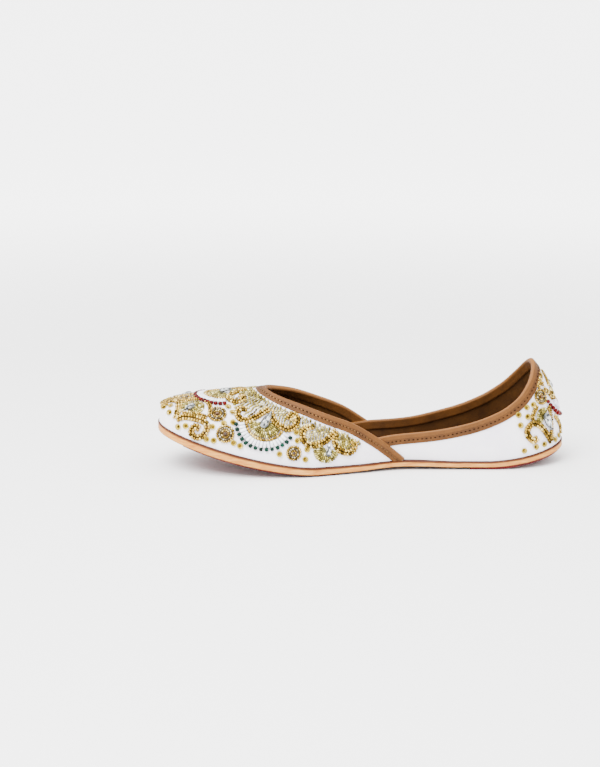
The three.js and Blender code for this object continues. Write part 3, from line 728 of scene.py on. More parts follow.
def bindingProfile():
    # Distance in, depth and painted highlight (how much lighter the leather is painted where it rounds over)
    # round the closed
    # section: outer leaf with its groove, a bell curve deep, half-round fold, inner leaf and back inside.
    wide, proud, crown = last["bindingWidth"], bindingShape["proud"], bindingShape["crown"]
    low = liningDepth + proud
    half = (low + proud) / 2
    # the third column is painted highlight: a little on the lip and on the leaf near the fold, most on the
    # fold's crown and outer side
    lip = [(wide, 0.0, 0.0), (wide, -proud * 0.45, 0.1), (wide - 0.2, -proud * 0.8, 0.35),
           (wide - 0.55, -proud, 0.2)]
    leaf = np.linspace(wide - 1.0, 0.5, 9)
    groove = bindingShape["grooveDepth"] * np.exp(-((leaf - bindingShape["grooveAt"]) / 0.45) ** 2)
    outer = np.column_stack([leaf, groove - proud, np.where(leaf > 2, 0.0, 0.25)])
    a = np.linspace(0, np.pi, 2 * bindingShape["profileSteps"] + 1)
    fold = np.column_stack([-crown * np.sin(a), low - half - half * np.cos(a),
                            0.25 + 0.6 * np.sin(a) * (a < 2)])
    back = np.linspace(0.6, wide - 0.7, 6)
    inner = np.column_stack([back, np.full(6, low), np.zeros(6)])
    inside = [(wide - 0.5, low - proud * 0.3, 0.0), (wide - 0.5, liningDepth, 0.0),
              (wide / 2, liningDepth, 0.0),
              (0.3, liningDepth, 0.0), (0.3, 0.0, 0.0), (wide / 2, 0.0, 0.0)]
    return np.concatenate([lip, outer, fold, inner, inside])


def evenLengths(start, end, pitch):  # even steps of the pitch or a little more
    return np.linspace(start, end, int((end - start) / pitch) + 1)


fineVamp = spacing(throatLength, vampReach, 400, 1.6)
vampEdge = Edge(fineVamp, np.maximum(vampTurn(fineVamp), upperShape["leastTurn"]), flush(fineVamp),
                tangentAtStart=(0, -1, 0))
fineQuarter = spacing(quarterReach, outlineLength, 400)
fineInset = lapAt(outlineAt(fineQuarter)[0])
quarterEdge = Edge(fineQuarter, quarterTurn(fineQuarter), fineInset, tangentAtEnd=(0, 1, 0))


def wholeBinding(name, edge, node, joinedAtStart):
    # The closed section carried along one half of the edge, over the centre line and along the other half.
    distance, depth, edgeHighlight = bindingProfile().T
    lengths = evenLengths(0, edge.length[-1], bindingShape["step"])
    near = edge.at(lengths[:, None], distance[None], depth[None])[0]
    if joinedAtStart:
        near[0, :, 1] = 0
        grid = np.concatenate([mirror(near)[:0:-1], near])
    else:
        near[-1, :, 1] = 0
        grid = np.concatenate([near, mirror(near)[-2::-1]])
    count, columns = grid.shape[:2]
    faces = gridFaces(count, columns, wrap=True).tolist()
    final = (count - 1) * columns
    faces += [list(range(columns)), [final + k for k in range(columns)][::-1]]
    edgeHighlights = np.broadcast_to(edgeHighlight, (count, columns)).ravel()
    return makePiece(name, grid.reshape(-1, 3), faces, bindingLeather, [node],
                     {"edgeHighlight": edgeHighlights}, weld=0.0005, sharp=bindingShape["sharpEdge"])


wholeBinding("vampBinding", vampEdge, "vamp_binding", joinedAtStart=True)
wholeBinding("quarterBinding", quarterEdge, "quarter_binding", joinedAtStart=False)
print("bindings done")


def vampChart():
    # Rows of constant x, found by halving; w is the length along a row from the crest down.
    xs = np.concatenate([[0.4], np.linspace(1.5, last["vampEnd"] + 4, 130)])
    toeCentre = last["toeCentre"]
    turnMax = np.where(xs < toeCentre, np.arccos(1 - np.minimum(xs, toeCentre) / toeCentre), np.pi / 2)
    turn = turnMax[:, None] * np.linspace(1, 0, 90)[None]
    low, high = np.zeros(turn.shape), np.broadcast_to(lengthAt(xs)[:, None], turn.shape).copy()
    for _ in range(36):
        middle = (low + high) / 2
        short = lastPoint(middle, turn)[..., 0] < xs[:, None]
        low, high = np.where(short, middle, low), np.where(short, high, middle)
    s = (low + high) / 2
    s[xs < toeCentre, 0] = 0
    points = lastPoint(s, turn)
    steps = np.linalg.norm(np.diff(points, axis=1), axis=-1)
    w = np.concatenate([np.zeros((len(xs), 1)), np.cumsum(steps, axis=1)], axis=1)
    return xs, w, s, turn


chart = vampChart()


def onVamp(places):
    # From (x, w) to (s, turn): w grows down the near side and is negative on the far side. The two chart rows
    # beside x are read at w by straight lines, then mixed.
    xs, w, s, turn = chart
    x, reach = np.asarray(places, float).reshape(-1, 2).T
    i = np.clip(np.searchsorted(xs, x) - 1, 0, len(xs) - 2)
    share = (x - xs[i]) / (xs[i + 1] - xs[i])
    found = 0
    for row, weight in ((i, 1 - share), (i + 1, share)):
        k = np.clip((w[row] < np.abs(reach)[:, None]).sum(1) - 1, 0, w.shape[1] - 2)
        along = np.clip((np.abs(reach) - w[row, k]) / (w[row, k + 1] - w[row, k]), 0, 1)
        read = np.stack([s[row, k] + along * (s[row, k + 1] - s[row, k]),
                         turn[row, k] + along * (turn[row, k + 1] - turn[row, k])])
        found = found + read * weight
    return found[0] * np.where(reach < 0, -1, 1), found[1]


def onHeel(places):  # (distance from the heel's centre along the feather line, height) to (s, turn)
    places = np.asarray(places, float).reshape(-1, 2)
    s = outlineLength - places[:, 0]
    return s, turnAtHeight(s, places[:, 1])


def settle(s, turn, goals):  # nearest places on the last to the goals, by Gauss-Newton steps
    for _ in range(5):
        s, turn = slide(s, turn, goals - lastPoint(s, turn))
    return s, turn


def surfaceAt(s, turn):  # points and normals
    return lastPoint(s, turn), outward(s, turn)


def smoothCurve(places, steps=24):  # Catmull-Rom cubics through the places
    p = np.asarray(places, float)
    p = np.concatenate([[2 * p[0] - p[1]], p, [2 * p[-1] - p[-2]]])
    t = np.linspace(0, 1, steps, endpoint=False)[:, None]
    a, b, c, d = (part[:, None] for part in (p[:-3], p[1:-2], p[2:-1], p[3:]))
    cubic = 0.5 * (2 * b + (c - a) * t + (2 * a - 5 * b + 4 * c - d) * t**2 + (3 * b - a - 3 * c + d) * t**3)
    return np.concatenate([cubic.reshape(-1, 2), p[-2:-1]])


onCentre = 0.35  # a bead this near the centre line, in mm, is on it


class String:
    # Beads of one kind gathered from every motif: centres lifted along the normal by a share of the bead's
    # height, hole directions tilted a little in the surface, normals, sizes and tones.
    def __init__(self):
        self.rows = []

    def add(self, centres, along, normals, size, tone=None):
        count = len(centres)
        tone = rng.uniform(0, 1, count) if tone is None else tone
        uneven = beads["uneven"]
        sizes = np.broadcast_to(size, (count, 3)) * rng.uniform(1 - uneven, 1 + uneven, (count, 1))
        along = unit(along - normals * (along * normals).sum(-1, keepdims=True))
        tilt = rng.normal(0, beads["tilt"], (count, 1))
        along = unit(along + np.cross(normals, along) * tilt)
        self.rows.append((centres + normals * (sizes[:, 2:] * beads["lift"]), along, normals, sizes, tone))

    def centres(self):
        return np.concatenate([row[0] for row in self.rows]) if self.rows else np.zeros((0, 3))

    def piece(self, name, template, material, slot, smooth=True, paintedLightTones=None):
        # The near half and its mirror image; a bead on the centre line is kept once. Where per-vertex tones
        # of painted shade or painted reflection are given, a copy's own tone shifts them a little.
        rows = [np.concatenate(part) for part in zip(*self.rows)]
        across = rows[0][:, 1]
        near, apart = across < onCentre, across < -onCentre
        centres, along, normals = (np.concatenate([v[near], mirror(v[apart])]) for v in rows[:3])
        sizes, tone = (np.concatenate([v[near], v[apart]]) for v in rows[3:])
        tone = rng.permutation(tone)
        points, faces = scatter(template, centres, along, normals, sizes)
        tones = np.repeat(tone, len(template[0]))
        if paintedLightTones is not None:
            tones = np.clip(np.tile(paintedLightTones, len(centres)) + tones * 0.25 - 0.12, 0, 1)
        return makePiece(name, points, faces, material, (), {"tone": tones}, smooth=smooth)


def spacedPoints(points, pitch):  # places at an even pitch along a dense polyline, and the directions there
    length = np.concatenate([[0], np.cumsum(np.linalg.norm(np.diff(points, axis=0), axis=1))])
    count = max(2, int(round(length[-1] / pitch)) + 1)
    at = np.linspace(0, length[-1], count)
    even = np.stack([np.interp(at, length, points[:, k]) for k in range(points.shape[1])], -1)
    ahead = np.stack([np.interp(at + 0.3, length, points[:, k]) for k in range(points.shape[1])], -1)
    behind = np.stack([np.interp(at - 0.3, length, points[:, k]) for k in range(points.shape[1])], -1)
    return even, unit(ahead - behind)


cordStrips, cordDiscs = [], []


def bed(track, normals, width):
    # Low half-round strip of couched cord under a row of beads: track + side * across + normal * height, five
    # points across and sunk at both edges.
    side = unit(np.cross(normals, np.gradient(track, axis=0)))
    across = np.array([-0.5, -0.32, 0, 0.32, 0.5])
    height = np.array([-0.15, 0.2, 0.34, 0.2, -0.15])
    section = side[:, None] * across[:, None] * width + normals[:, None] * height[:, None]
    cordStrips.append(track[:, None] + section)


def beadRow(string, placer, places, pitch, size, offsets=(0,)):
    # Rows of beads side by side along a curve: offsets are sideways distances, settled back onto the surface.
    s, turn = placer(smoothCurve(places))
    track = lastPoint(s, turn)
    if string is gold:
        bed(track[::3], outward(s, turn)[::3], offsets[-1] - offsets[0] + size[1] * 0.75)
    for offset in offsets:
        normals = outward(s, turn)
        side = unit(np.cross(normals, np.gradient(track, axis=0)))
        goals = track + side * offset
        even, direction = spacedPoints(goals, pitch)
        nearest = np.argmin(((even[:, None] - track[None]) ** 2).sum(-1), axis=1)
        s2, turn2 = settle(s[nearest], turn[nearest], even)
        centres, normals2 = surfaceAt(s2, turn2)
        string.add(centres, direction, normals2, size)


def disc(placer, centre, towards, pattern, wide=1.0):
    # A small flat pattern laid on the last: centre + radius (e1 cos a + e2 sin a), e1 towards the given
    # place, settled onto the surface.
    s0, turn0 = placer([centre])
    point, normal = surfaceAt(s0, turn0)
    s1, turn1 = placer([towards])
    e1 = lastPoint(s1, turn1) - point
    e1 = unit(e1 - normal * (e1 * normal).sum(-1, keepdims=True))
    e2 = np.cross(normal, e1)
    radius, angle = np.asarray(pattern, float).T
    radial = e1 * np.cos(angle)[:, None] + e2 * np.sin(angle)[:, None] * wide
    goals = point + radial * radius[:, None]
    s, turn = settle(np.full(len(radius), s0[0]), np.full(len(radius), turn0[0]), goals)
    centres, normals = surfaceAt(s, turn)
    return centres, normals, unit(radial)


gold, pale, bugles, longWhites, greens, reds, silver, stones, sequins, centresOfSequins, crystals = (
    String() for _ in range(11)
)

# sizes of beads along their hole, across and up, and pitches and sideways places of rows, in millimetres
beads = {
    "gold": (1.75, 2.2, 2.0), "goldPitch": 1.76, "goldPair": (-1.08, 1.08),
    "fine": (1.35, 1.6, 1.6), "finePitch": 1.36, "finePair": (-0.78, 0.78), "fineTriple": (-1.5, 0, 1.5),
    "ray": (2.15, 1.2, 1.25), "rayPitch": 1.3, "rice": (2.1, 1.35, 1.3), "longWhite": (3.9, 2.0, 2.0),
    "colour": (2.4, 2.8, 2.5), "silver": (1.25, 1.35, 1.4), "inner": (1.1, 1.2, 1.3),
    "stone": (1.9, 1.9, 1.9),
    "sequin": 3.8, "sequinBead": (1.0, 1.2, 1.2),
    # share by which sizes differ, tilt in radians, and how high a bead's centre sits as a share of its height
    "uneven": 0.05, "tilt": 0.07, "lift": 0.42,
}


def ringPattern(radius, pitch, start=0.0, end=2 * np.pi, closed=True):  # (radius, angle) at an even pitch
    count = max(3, int(round(radius * (end - start) / pitch)))
    angles = np.linspace(start, end, count + (0 if closed else 1), endpoint=not closed)
    return np.column_stack([np.full(len(angles), radius), angles])


def ringOf(string, placer, centre, towards, pattern, size, radially=False, wide=1.0):
    # Beads on a disc's pattern, their holes along the ring or, radially, along its radius.
    centres, normals, radial = disc(placer, centre, towards, pattern, wide)
    string.add(centres, radial if radially else np.cross(normals, radial), normals, size)


def rosette(placer, centre, radius):
    # A smoky stone, a ring of fine gold beads, one of silver beads and one of gold beads outside.
    towards = np.add(centre, (1, 0))
    cordStrips.append(bedDisc(placer, centre, towards, 0, 2 * np.pi, radius - 0.9))
    centres, normals, radial = disc(placer, centre, towards, [(0, 0)])
    stones.add(centres, radial, normals, beads["stone"])
    ringOf(gold, placer, centre, towards, ringPattern(radius - 3.75, 1.25), beads["inner"])
    ringOf(silver, placer, centre, towards, ringPattern(radius - 2.4, 1.35), beads["silver"])
    ringOf(gold, placer, centre, towards, ringPattern(radius - 0.95, 1.45), beads["fine"])


def fan(placer, centre, towards, start, end, rings, wide=1.0):
    # Arcs about a centre: rings name the string, radius, pitch, size and whether the beads point outwards.
    for string, radius, step, size, radially in rings:
        pattern = ringPattern(radius, step / wide, start, end, False)
        ringOf(string, placer, centre, towards, pattern, size, radially, wide)


def bedDisc(placer, centre, towards, start, end, radius, wide=1.0, spokes=25):
    # The same cord laid as a thin sector: rings by spokes, a little above the satin, its rim sunk.
    radii = [0.5, radius * 0.5, radius, radius + 0.3]
    angles, radii = np.meshgrid(np.linspace(start, end, spokes), radii, indexing="ij")
    pattern = np.column_stack([radii.ravel(), angles.ravel()])
    centres, normals, _ = disc(placer, centre, towards, pattern, wide)
    lift = np.tile([0.2, 0.2, 0.2, -0.15], spokes)
    return (centres + normals * lift[:, None]).reshape(spokes, 4, 3)


def rays(placer, centre, towards, start, end, radii, wide=1.0):
    # Rings of short bugles that point outwards like a sun's rays, over a disc of cord.
    cordDiscs.append(bedDisc(placer, centre, towards, start, end, radii[-1] + 0.5, wide))
    for radius in radii:
        count = int(round(radius * wide * (end - start) / beads["rayPitch"]))
        angles = start + (np.arange(count) + 0.5) * (end - start) / count
        pattern = np.column_stack([np.full(count, radius), angles])
        ringOf(pale, placer, centre, towards, pattern, beads["ray"], True, wide)


def crystal(placer, tip, end, width):
    # A drop-shaped stone from its tip to its broad end.
    points = lastPoint(*placer([tip, end]))
    centres, normals = surfaceAt(*placer([np.mean([tip, end], axis=0)]))
    length = np.linalg.norm(points[1] - points[0])
    crystals.add(centres, (points[0] - points[1])[None], normals, (length, width, width * 0.75),
                 np.array([0.5]))


def sequinAt(placer, places):
    # Sequins that lean a little, each turned its own way, with a small gold bead at the centre.
    centres, normals = surfaceAt(*placer(places))
    along = unit(rng.normal(size=centres.shape))
    lean = unit(normals + rng.normal(0, 0.1, normals.shape))
    count = len(centres)
    sizes = np.full((count, 3), beads["sequin"]) * rng.uniform(0.94, 1.04, (count, 1))
    tones = rng.uniform(0, 1, count)
    sequins.rows.append((centres + normals * 0.15, unit(np.cross(lean, along)), lean, sizes, tones))
    tones = rng.uniform(0, 0.45, count)
    centresOfSequins.add(centres + normals * 0.3, along, normals, beads["sequinBead"], tones)


goldPair, goldSize, pitch = beads["goldPair"], beads["gold"], beads["goldPitch"]
finePair, triple, fine, finePitch = beads["finePair"], beads["fineTriple"], beads["fine"], beads["finePitch"]
deg = math.radians

# toe scroll
beadRow(gold, onVamp, [
    (3.4, 7), (3.0, 3.5), (6, 1.2), (9.8, 4.2), (11.5, 8.5), (11.4, 14), (10.7, 19), (9.4, 23.5),
], finePitch, fine, triple)
beadRow(gold, onVamp, [
    (10.4, 24.6), (14, 25.3), (19, 27.5), (24.5, 30.5), (27.3, 33.8), (26.5, 37.3), (24.3, 39.5),
    (21.3, 39.6), (18.7, 37.3), (18.2, 34.4), (20.3, 33), (22.4, 34.7),
], pitch, goldSize, goldPair)
beadRow(gold, onVamp, [(13.4, 22.6), (18, 23.8), (23, 26.0), (27, 28.3)], finePitch, fine, finePair)
crystal(onVamp, (14.6, 20.6), (20.8, 16.4), 3.8)
rays(onVamp, (18.4, 18.2), (26, 12), -deg(165), deg(165), (3.3, 5.4, 7.3))
beadRow(gold, onVamp, [
    (13.4, 11), (15.5, 8.6), (19, 7.6), (23, 8.2), (26.8, 11.6), (29.0, 16.5), (29.8, 21.5), (29.3, 26),
], finePitch, fine, finePair)
beadRow(gold, onVamp, [(9.4, 0.6), (12.7, 4.4), (14.2, 7.0)], finePitch, fine, finePair)
# centre of the toe
rosette(onVamp, (16.8, 0), 6.2)
sequinAt(onVamp, [(2.8, 8), (6.6, 10.5), (5.8, 17), (10.6, 29.4), (14.8, 30.9)])
# centre fan, opening towards the toe
fan(onVamp, (39, 0), (20, 0), -deg(88), deg(88), [
    (reds, 17.0, 3.2, beads["colour"], False), (longWhites, 14.0, 2.15, beads["longWhite"], True),
    (gold, 10.9, pitch, goldSize, False),
], 1.15)
rays(onVamp, (39, 0), (20, 0), -deg(115), deg(115), (4.2, 6.4, 8.7), 1.15)
crystal(onVamp, (44.8, 0), (36.4, 0), 4.6)
beadRow(gold, onVamp, [
    (52.3, 1.0), (47.4, 3.7), (43.2, 8), (41.6, 12.5), (43.2, 16), (47, 17.6), (50.2, 15.3), (50, 12.3),
    (48.3, 12.9),
], pitch, goldSize, goldPair)
# rosettes and side fan
rosette(onVamp, (33.6, 26.6), 6.0)
rosette(onVamp, (37.8, 40.3), 5.9)
rosette(onVamp, (78.3, 56.4), 5.0)
fan(onVamp, (62, 35.5), (62, 55), -deg(88), deg(55), [
    (greens, 17.6, 3.3, beads["colour"], False), (longWhites, 14.4, 2.15, beads["longWhite"], True),
    (gold, 11.3, pitch, goldSize, False),
])
rays(onVamp, (62, 35.5), (60, 55), -deg(96), deg(96), (4.5, 6.8, 9.1))
crystal(onVamp, (66.6, 29.4), (59.2, 38.8), 5.0)
beadRow(gold, onVamp, [
    (51.1, 24.9), (47.3, 24.3), (45.5, 28.3), (47.4, 31.7), (51.0, 33.2), (56.0, 31.5), (61.0, 28.5),
    (64.1, 26.2),
], pitch, goldSize, goldPair)
beadRow(gold, onVamp, [
    (65.8, 28.0), (65.9, 31), (67.5, 35.4), (70.7, 38.7), (75.1, 41.6), (79.0, 40.9), (81.2, 37.3),
    (80.0, 33.5), (77.4, 33.0), (76.4, 35.7),
], pitch, goldSize, goldPair)
# rear scrolls and their small fan
beadRow(gold, onVamp, [
    (90.2, 42.8), (86.7, 42.7), (84.1, 44.8), (83.8, 48.3), (86.0, 52.0), (90.2, 53.8), (96.1, 52.9),
    (101.1, 49.9), (104.0, 46.9),
], pitch, goldSize, goldPair)
beadRow(gold, onVamp, [
    (104.3, 49.2), (103.4, 51.6), (103.6, 54.4), (105.4, 57.7), (109, 60.0), (112.5, 60.8), (115.3, 59.1),
    (116, 56.3), (114.8, 54.3),
], pitch, goldSize, goldPair)
crystal(onVamp, (99.9, 54.4), (98.7, 61.6), 3.6)
rays(onVamp, (98.2, 57.2), (96, 65), -deg(112), deg(100), (3.3, 5.4, 7.5))
sequinAt(onVamp, [
    (30.4, 35.1), (37.1, 34.0), (42.7, 33.5), (42.7, 26.5), (40.4, 21.6), (26.8, 41.9), (30.9, 43.2),
    (42.5, 46.1), (46.3, 48.2), (69.7, 55.5), (80.3, 44.4), (80.6, 49.5), (86.4, 55.7), (85.1, 61.4),
])
print("motifs done")

fill = {
    "pitch": 1.34, "rowStep": 2.05, "keepOff": 1.25, "bandStart": 7.4, "bandDepth": 24, "rearGap": 30,
    # the lower border as chart places, from the centre to the rear scrolls
    "border": [
        (43.5, 0), (43.5, 16), (46.0, 24.5), (52, 30.5), (58, 28.0), (64, 26.5), (69, 36.5), (75, 40.5),
        (81, 41.5), (87, 50.0), (93, 51.8), (101, 48), (105, 54), (110, 59), (117, 59.5), (124, 57.5),
    ],
}


def fillBand():
    # Short bugles in wavy lines running in from the binding, above the border and wherever no other bead is
    # near: every second place of a grid, shifted and leant by sines.
    others = (gold, pale, greens, reds, silver, longWhites, crystals, sequins)
    taken = np.concatenate([string.centres() for string in others])
    lengths = np.arange(0.4, vampEdge.length[-1] - fill["rearGap"], fill["pitch"])
    distances = fill["bandStart"] + np.arange(0, fill["bandDepth"], fill["rowStep"] / 2)
    s, turn, tangent = marchFrom(vampEdge, lengths, distances)
    points, normals = surfaceAt(s, turn)
    i, j = np.meshgrid(np.arange(len(lengths)), np.arange(len(distances)), indexing="ij")
    keep = (i + j) % 2 == 0
    inward = unit(np.cross(np.broadcast_to(tangent[:, None], normals.shape), normals))
    phase = 0.8 * j + 0.35 * i
    lean = inward + tangent[:, None] * (0.5 * np.cos(phase))[..., None]
    places = points + tangent[:, None] * (0.4 * np.sin(phase))[..., None]
    border = lastPoint(*onVamp(smoothCurve(fill["border"])))
    nearest = np.argmin(((places[:, :, None, [0, 2]] - border[:, [0, 2]]) ** 2).sum(-1), axis=-1)
    keep &= (places[..., 2] > border[nearest, 2] - 0.2) & (places[..., 1] < -0.4)
    keep &= places[..., 0] > border[:, 0].min()
    places, lean, normals = places[keep], lean[keep], normals[keep]
    clear = np.linalg.norm(places[:, None] - taken[None], axis=-1).min(1) > fill["keepOff"]
    bugles.add(places[clear], lean[clear], normals[clear], beads["rice"])


fillBand()

# heel motif, mirrored about the heel's centre
rosette(onHeel, (26.4, 42.6), 5.4)
beadRow(gold, onHeel, [(25.6, 48.2), (22.4, 50.4), (19.2, 49.4)], finePitch, fine, finePair)
beadRow(gold, onHeel, [(21.2, 51.6), (17.2, 53.2), (14.2, 55.0)], finePitch, fine, finePair)
beadRow(gold, onHeel, [(19.6, 46.6), (16.4, 43.6), (14.0, 40.0)], finePitch, fine, finePair)
beadRow(reds, onHeel, [
    (21.4, 39.0), (19.6, 36.4), (16.8, 33.5), (13.4, 31.0), (9.0, 29.4), (4.6, 28.5), (1.3, 28.3),
], 3.1, beads["colour"])
crystal(onHeel, (24.8, 21.8), (27.9, 33.2), 5.2)
beadRow(gold, onHeel, [
    (25.2, 15.4), (28.9, 21.1), (32.5, 25.4), (37.0, 27.5), (40.5, 25.9), (42.4, 22.9), (41.5, 19.6),
    (38.6, 17.0), (36.1, 18.2),
], pitch, goldSize, goldPair)
beadRow(gold, onHeel, [(37.2, 29.9), (36.6, 32.6), (34.6, 35.2), (32.4, 37.4)], finePitch, fine, finePair)
beadRow(gold, onHeel, [
    (21.6, 36.0), (21.8, 31.2), (22.8, 25.5), (23.4, 20.8), (23.6, 17.0),
], finePitch, fine, finePair)
beadRow(gold, onHeel, [(17.2, 29.4), (14.0, 26.0), (11.0, 21.6), (11.6, 18.2)], finePitch, fine, finePair)
rays(onHeel, (28.0, 30.2), (33, 35), -deg(85), deg(100), (3.2, 5.3))
fan(onHeel, (0, 46), (0, 28), -deg(52), deg(52), [(longWhites, 14.4, 2.2, beads["longWhite"], True)])
beadRow(gold, onHeel, [(0.8, 34.5), (4.2, 35.2), (7.6, 37.2), (10.2, 40.4), (11.4, 44.6)], pitch, goldSize)
beadRow(gold, onHeel, [(0.8, 54.4), (4.6, 53.2), (8.2, 50.6), (10.4, 47.6)], finePitch, fine, finePair)
rays(onHeel, (0, 46), (0, 28), -deg(95), deg(95), (4.1, 6.2, 8.4))
crystal(onHeel, (0, 49.6), (0, 43.6), 3.6)
sequinAt(onHeel, [
    (40.2, 37.2), (34.9, 38.6), (46.8, 33.2), (40.6, 31.9), (46.4, 26.9), (30.6, 14.2), (36.8, 13.0),
    (44.8, 11.4), (15.8, 17.3), (20.6, 15.6),
])


def dropShape(sides=12):
    # Faceted drop: four rings, girdle to flat table, of an outline that narrows to a tip: x as cos a, y as
    # sin a times 0.62 - 0.38 cos a. Every facet keeps its own corners, so that its tone, a painted
    # reflection, is its own.
    angles = np.arange(sides) * 2 * np.pi / sides
    outline = np.column_stack([np.cos(angles), np.sin(angles) * (0.62 - 0.38 * np.cos(angles))]) * [0.5, 0.72]
    plans = np.stack([outline, outline, outline * 0.8 + [-0.03, 0], outline * 0.45 + [-0.09, 0]])
    heights = np.broadcast_to(np.array([-0.1, 0.1, 0.32, 0.45])[:, None, None], (4, sides, 1))
    rings = np.concatenate([plans, heights], axis=2)
    following = np.roll(rings, -1, axis=1)
    quads = np.stack([rings[:-1], following[:-1], following[1:], rings[1:]], axis=2).reshape(-1, 3)
    middle = np.broadcast_to(rings[-1].mean(axis=0), (sides, 3))
    table = np.stack([rings[-1], following[-1], middle], axis=1).reshape(-1, 3)
    corners = np.arange(len(quads) + len(table))
    faces = [corners[:len(quads)].reshape(-1, 4), corners[len(quads):].reshape(-1, 3)]
    # each facet's tone is a painted reflection, picked at random from dark to bright
    tones = np.concatenate([np.repeat(rng.uniform(0, 1, 3 * sides), 4),
                            np.repeat(rng.uniform(0.2, 1, sides), 3)])
    return (np.concatenate([quads, table]), faces), tones


def cordPiece(name, grids, material):
    # All strips of one kind and their mirror images as one mesh.
    points, faces, shift = [], [], 0
    for grid in grids:
        both = abs(grid[..., 1].mean()) > onCentre  # a strip across the centre line is its own mirror image
        for flip, placed in ((False, grid), (True, mirror(grid)))[:1 + both]:
            rows, columns = grid.shape[:2]
            faces.append(gridFaces(rows, columns, flip=flip) + shift)
            points.append(placed.reshape(-1, 3))
            shift += rows * columns
    points = np.concatenate(points)
    tone = rng.uniform(0, 1, len(points))
    return makePiece(name, points, np.concatenate(faces), material, (), {"tone": tone})


cordPiece("goldCordAndShade", cordStrips, goldCordAndShade)
cordPiece("paleCord", cordDiscs, paleCord)
drop, dropReflectionTones = dropShape()
gold.piece("goldBeads", beadShape, goldBead, "gold_beads")
pale.piece("paleBeads", beadShape, paleBead, "glass_beads")
bugles.piece("riceBeads", beadShape, paleBead, "glass_beads")
longWhites.piece("whiteBeads", bugleShape, whiteBead, "glass_beads")
greens.piece("greenBeads", beadShape, greenBead, "glass_beads")
reds.piece("redBeads", beadShape, redBead, "glass_beads")
silver.piece("silverBeads", beadShape, silverBead, "glass_beads")
stones.piece("rosetteStones", beadShape, stoneSmoke, "crystals")
# the cup of a sequin is painted darker than its rim: painted shade in its hollow
cupShadeTones = 0.12 + 0.75 * np.clip((np.hypot(*sequinShape[0][:, :2].T) - 0.16) / 0.1, 0, 1)
sequins.piece("sequins", sequinShape, sequinGold, "gold_beads", paintedLightTones=cupShadeTones)
centresOfSequins.piece("sequinCentres", beadShape, goldBead, "gold_beads")
crystals.piece("dropCrystals", drop, crystalGlass, "crystals", smooth=False, paintedLightTones=dropReflectionTones)
print("beadwork done")

stitching = {  # at is the distance in from the edge; sizes are length, width and height
    "vampPitch": 2.3, "vampAt": 3.0, "vampSize": (1.25, 0.55, 0.42), "vampHole": (1.2, 0.82, 0.22),
    "quarterPitch": 2.6, "quarterAt": 3.3, "quarterHole": (1.05, 0.7, 0.2), "endGap": 3,
    "runPitch": 5.5, "runSize": (2.8, 0.8, 0.6), "runHeight": 3.0, "runStart": 100,
}


def stitchRow(string, edge, start, end, pitch, at, depth, size):
    # Capsules at an even pitch along the edge, a distance in from it and a depth below its surface.
    centres, tangent, normal = edge.at(evenLengths(start, end, pitch), at, depth)
    sizes = np.full((len(centres), 3), size)
    string.rows.append((centres, tangent, normal, sizes, rng.uniform(0, 1, len(centres))))


vampStitches, vampHoles, quarterHoles, inside = (String() for _ in range(4))
top = -bindingShape["proud"] + 0.1
vampPitch, vampAt, endGap = stitching["vampPitch"], stitching["vampAt"], stitching["endGap"]
vampLast = vampEdge.length[-1] - endGap
stitchRow(vampStitches, vampEdge, endGap, vampLast, vampPitch, vampAt, top, stitching["vampSize"])
stitchRow(vampHoles, vampEdge, endGap + vampPitch / 2, vampLast, vampPitch, vampAt, top - 0.06,
          stitching["vampHole"])
stitchRow(quarterHoles, quarterEdge, endGap, quarterEdge.length[-1] - 1, stitching["quarterPitch"],
          stitching["quarterAt"], top - 0.04, stitching["quarterHole"])
vampStitches.piece("vampStitches", capsuleShape, threadTan, "thread")
vampHoles.piece("vampNeedleHoles", capsuleShape, needleHole, "thread")
quarterHoles.piece("quarterNeedleHoles", capsuleShape, needleHole, "thread")

# running stitches inside, low on the lining
runLengths = np.arange(lengthAt(stitching["runStart"]), outlineLength - 2, stitching["runPitch"])
runX = outlineAt(runLengths)[0]
runTurn = turnAtHeight(runLengths, seat(runX) + stitching["runHeight"])
runPoints, runNormals = surfaceAt(runLengths, runTurn)
runInset = lapAt(runX) + liningDepth + 0.15
runAlong = unit(lastFrame(runLengths, runTurn)[1])
runSizes = np.full((len(runPoints), 3), stitching["runSize"])
inside.rows.append((runPoints - runNormals * runInset[:, None], runAlong, runNormals, runSizes,
                    rng.uniform(0, 1, len(runPoints))))
inside.piece("liningStitches", capsuleShape, threadWhite, "thread")
print("stitches done")

studio = {
    "floorSize": 60.0, "sideStrength": 1.0, "ceilingStrength": 3.3, "horizonStrength": 3.9, "rimGain": 1.5,
    "keyPower": 62.0, "glowNear": 0.35, "glowFar": 1.6, "glowStrength": 2.6,
}
floorMesh = bpy.data.meshes.new("floor")
half = studio["floorSize"] / 2
corners = [(-half, -half, 0), (half, -half, 0), (half, half, 0), (-half, half, 0)]
floorMesh.from_pydata(corners, [], [(0, 1, 2, 3)])
# matt paper with a painted glow: it emits more light the further it lies from the shoe, so that it runs out
# to white
floorMaterial, floorTree, floorSurface = newMaterial("floorPaperWhite", {
    "Roughness": 0.9, "Base Color": hexColour("#FFFFFF"), "Emission Color": hexColour("#FFFFFF"),
})
place = addNode(floorTree, "ShaderNodeTexCoord").outputs["Object"]
fromShoe = addNode(floorTree, "ShaderNodeVectorMath", {0: place}, operation="LENGTH").outputs["Value"]
glow = addNode(floorTree, "ShaderNodeMapRange", {
    0: fromShoe, 1: studio["glowNear"], 2: studio["glowFar"], 3: 0.0, 4: studio["glowStrength"],
}, interpolation_type="SMOOTHSTEP").outputs[0]
floorTree.links.new(glow, floorSurface.inputs["Emission Strength"])
floorMesh.materials.append(floorMaterial)
floor = bpy.data.objects.new("floor", floorMesh)
bpy.context.scene.collection.objects.link(floor)

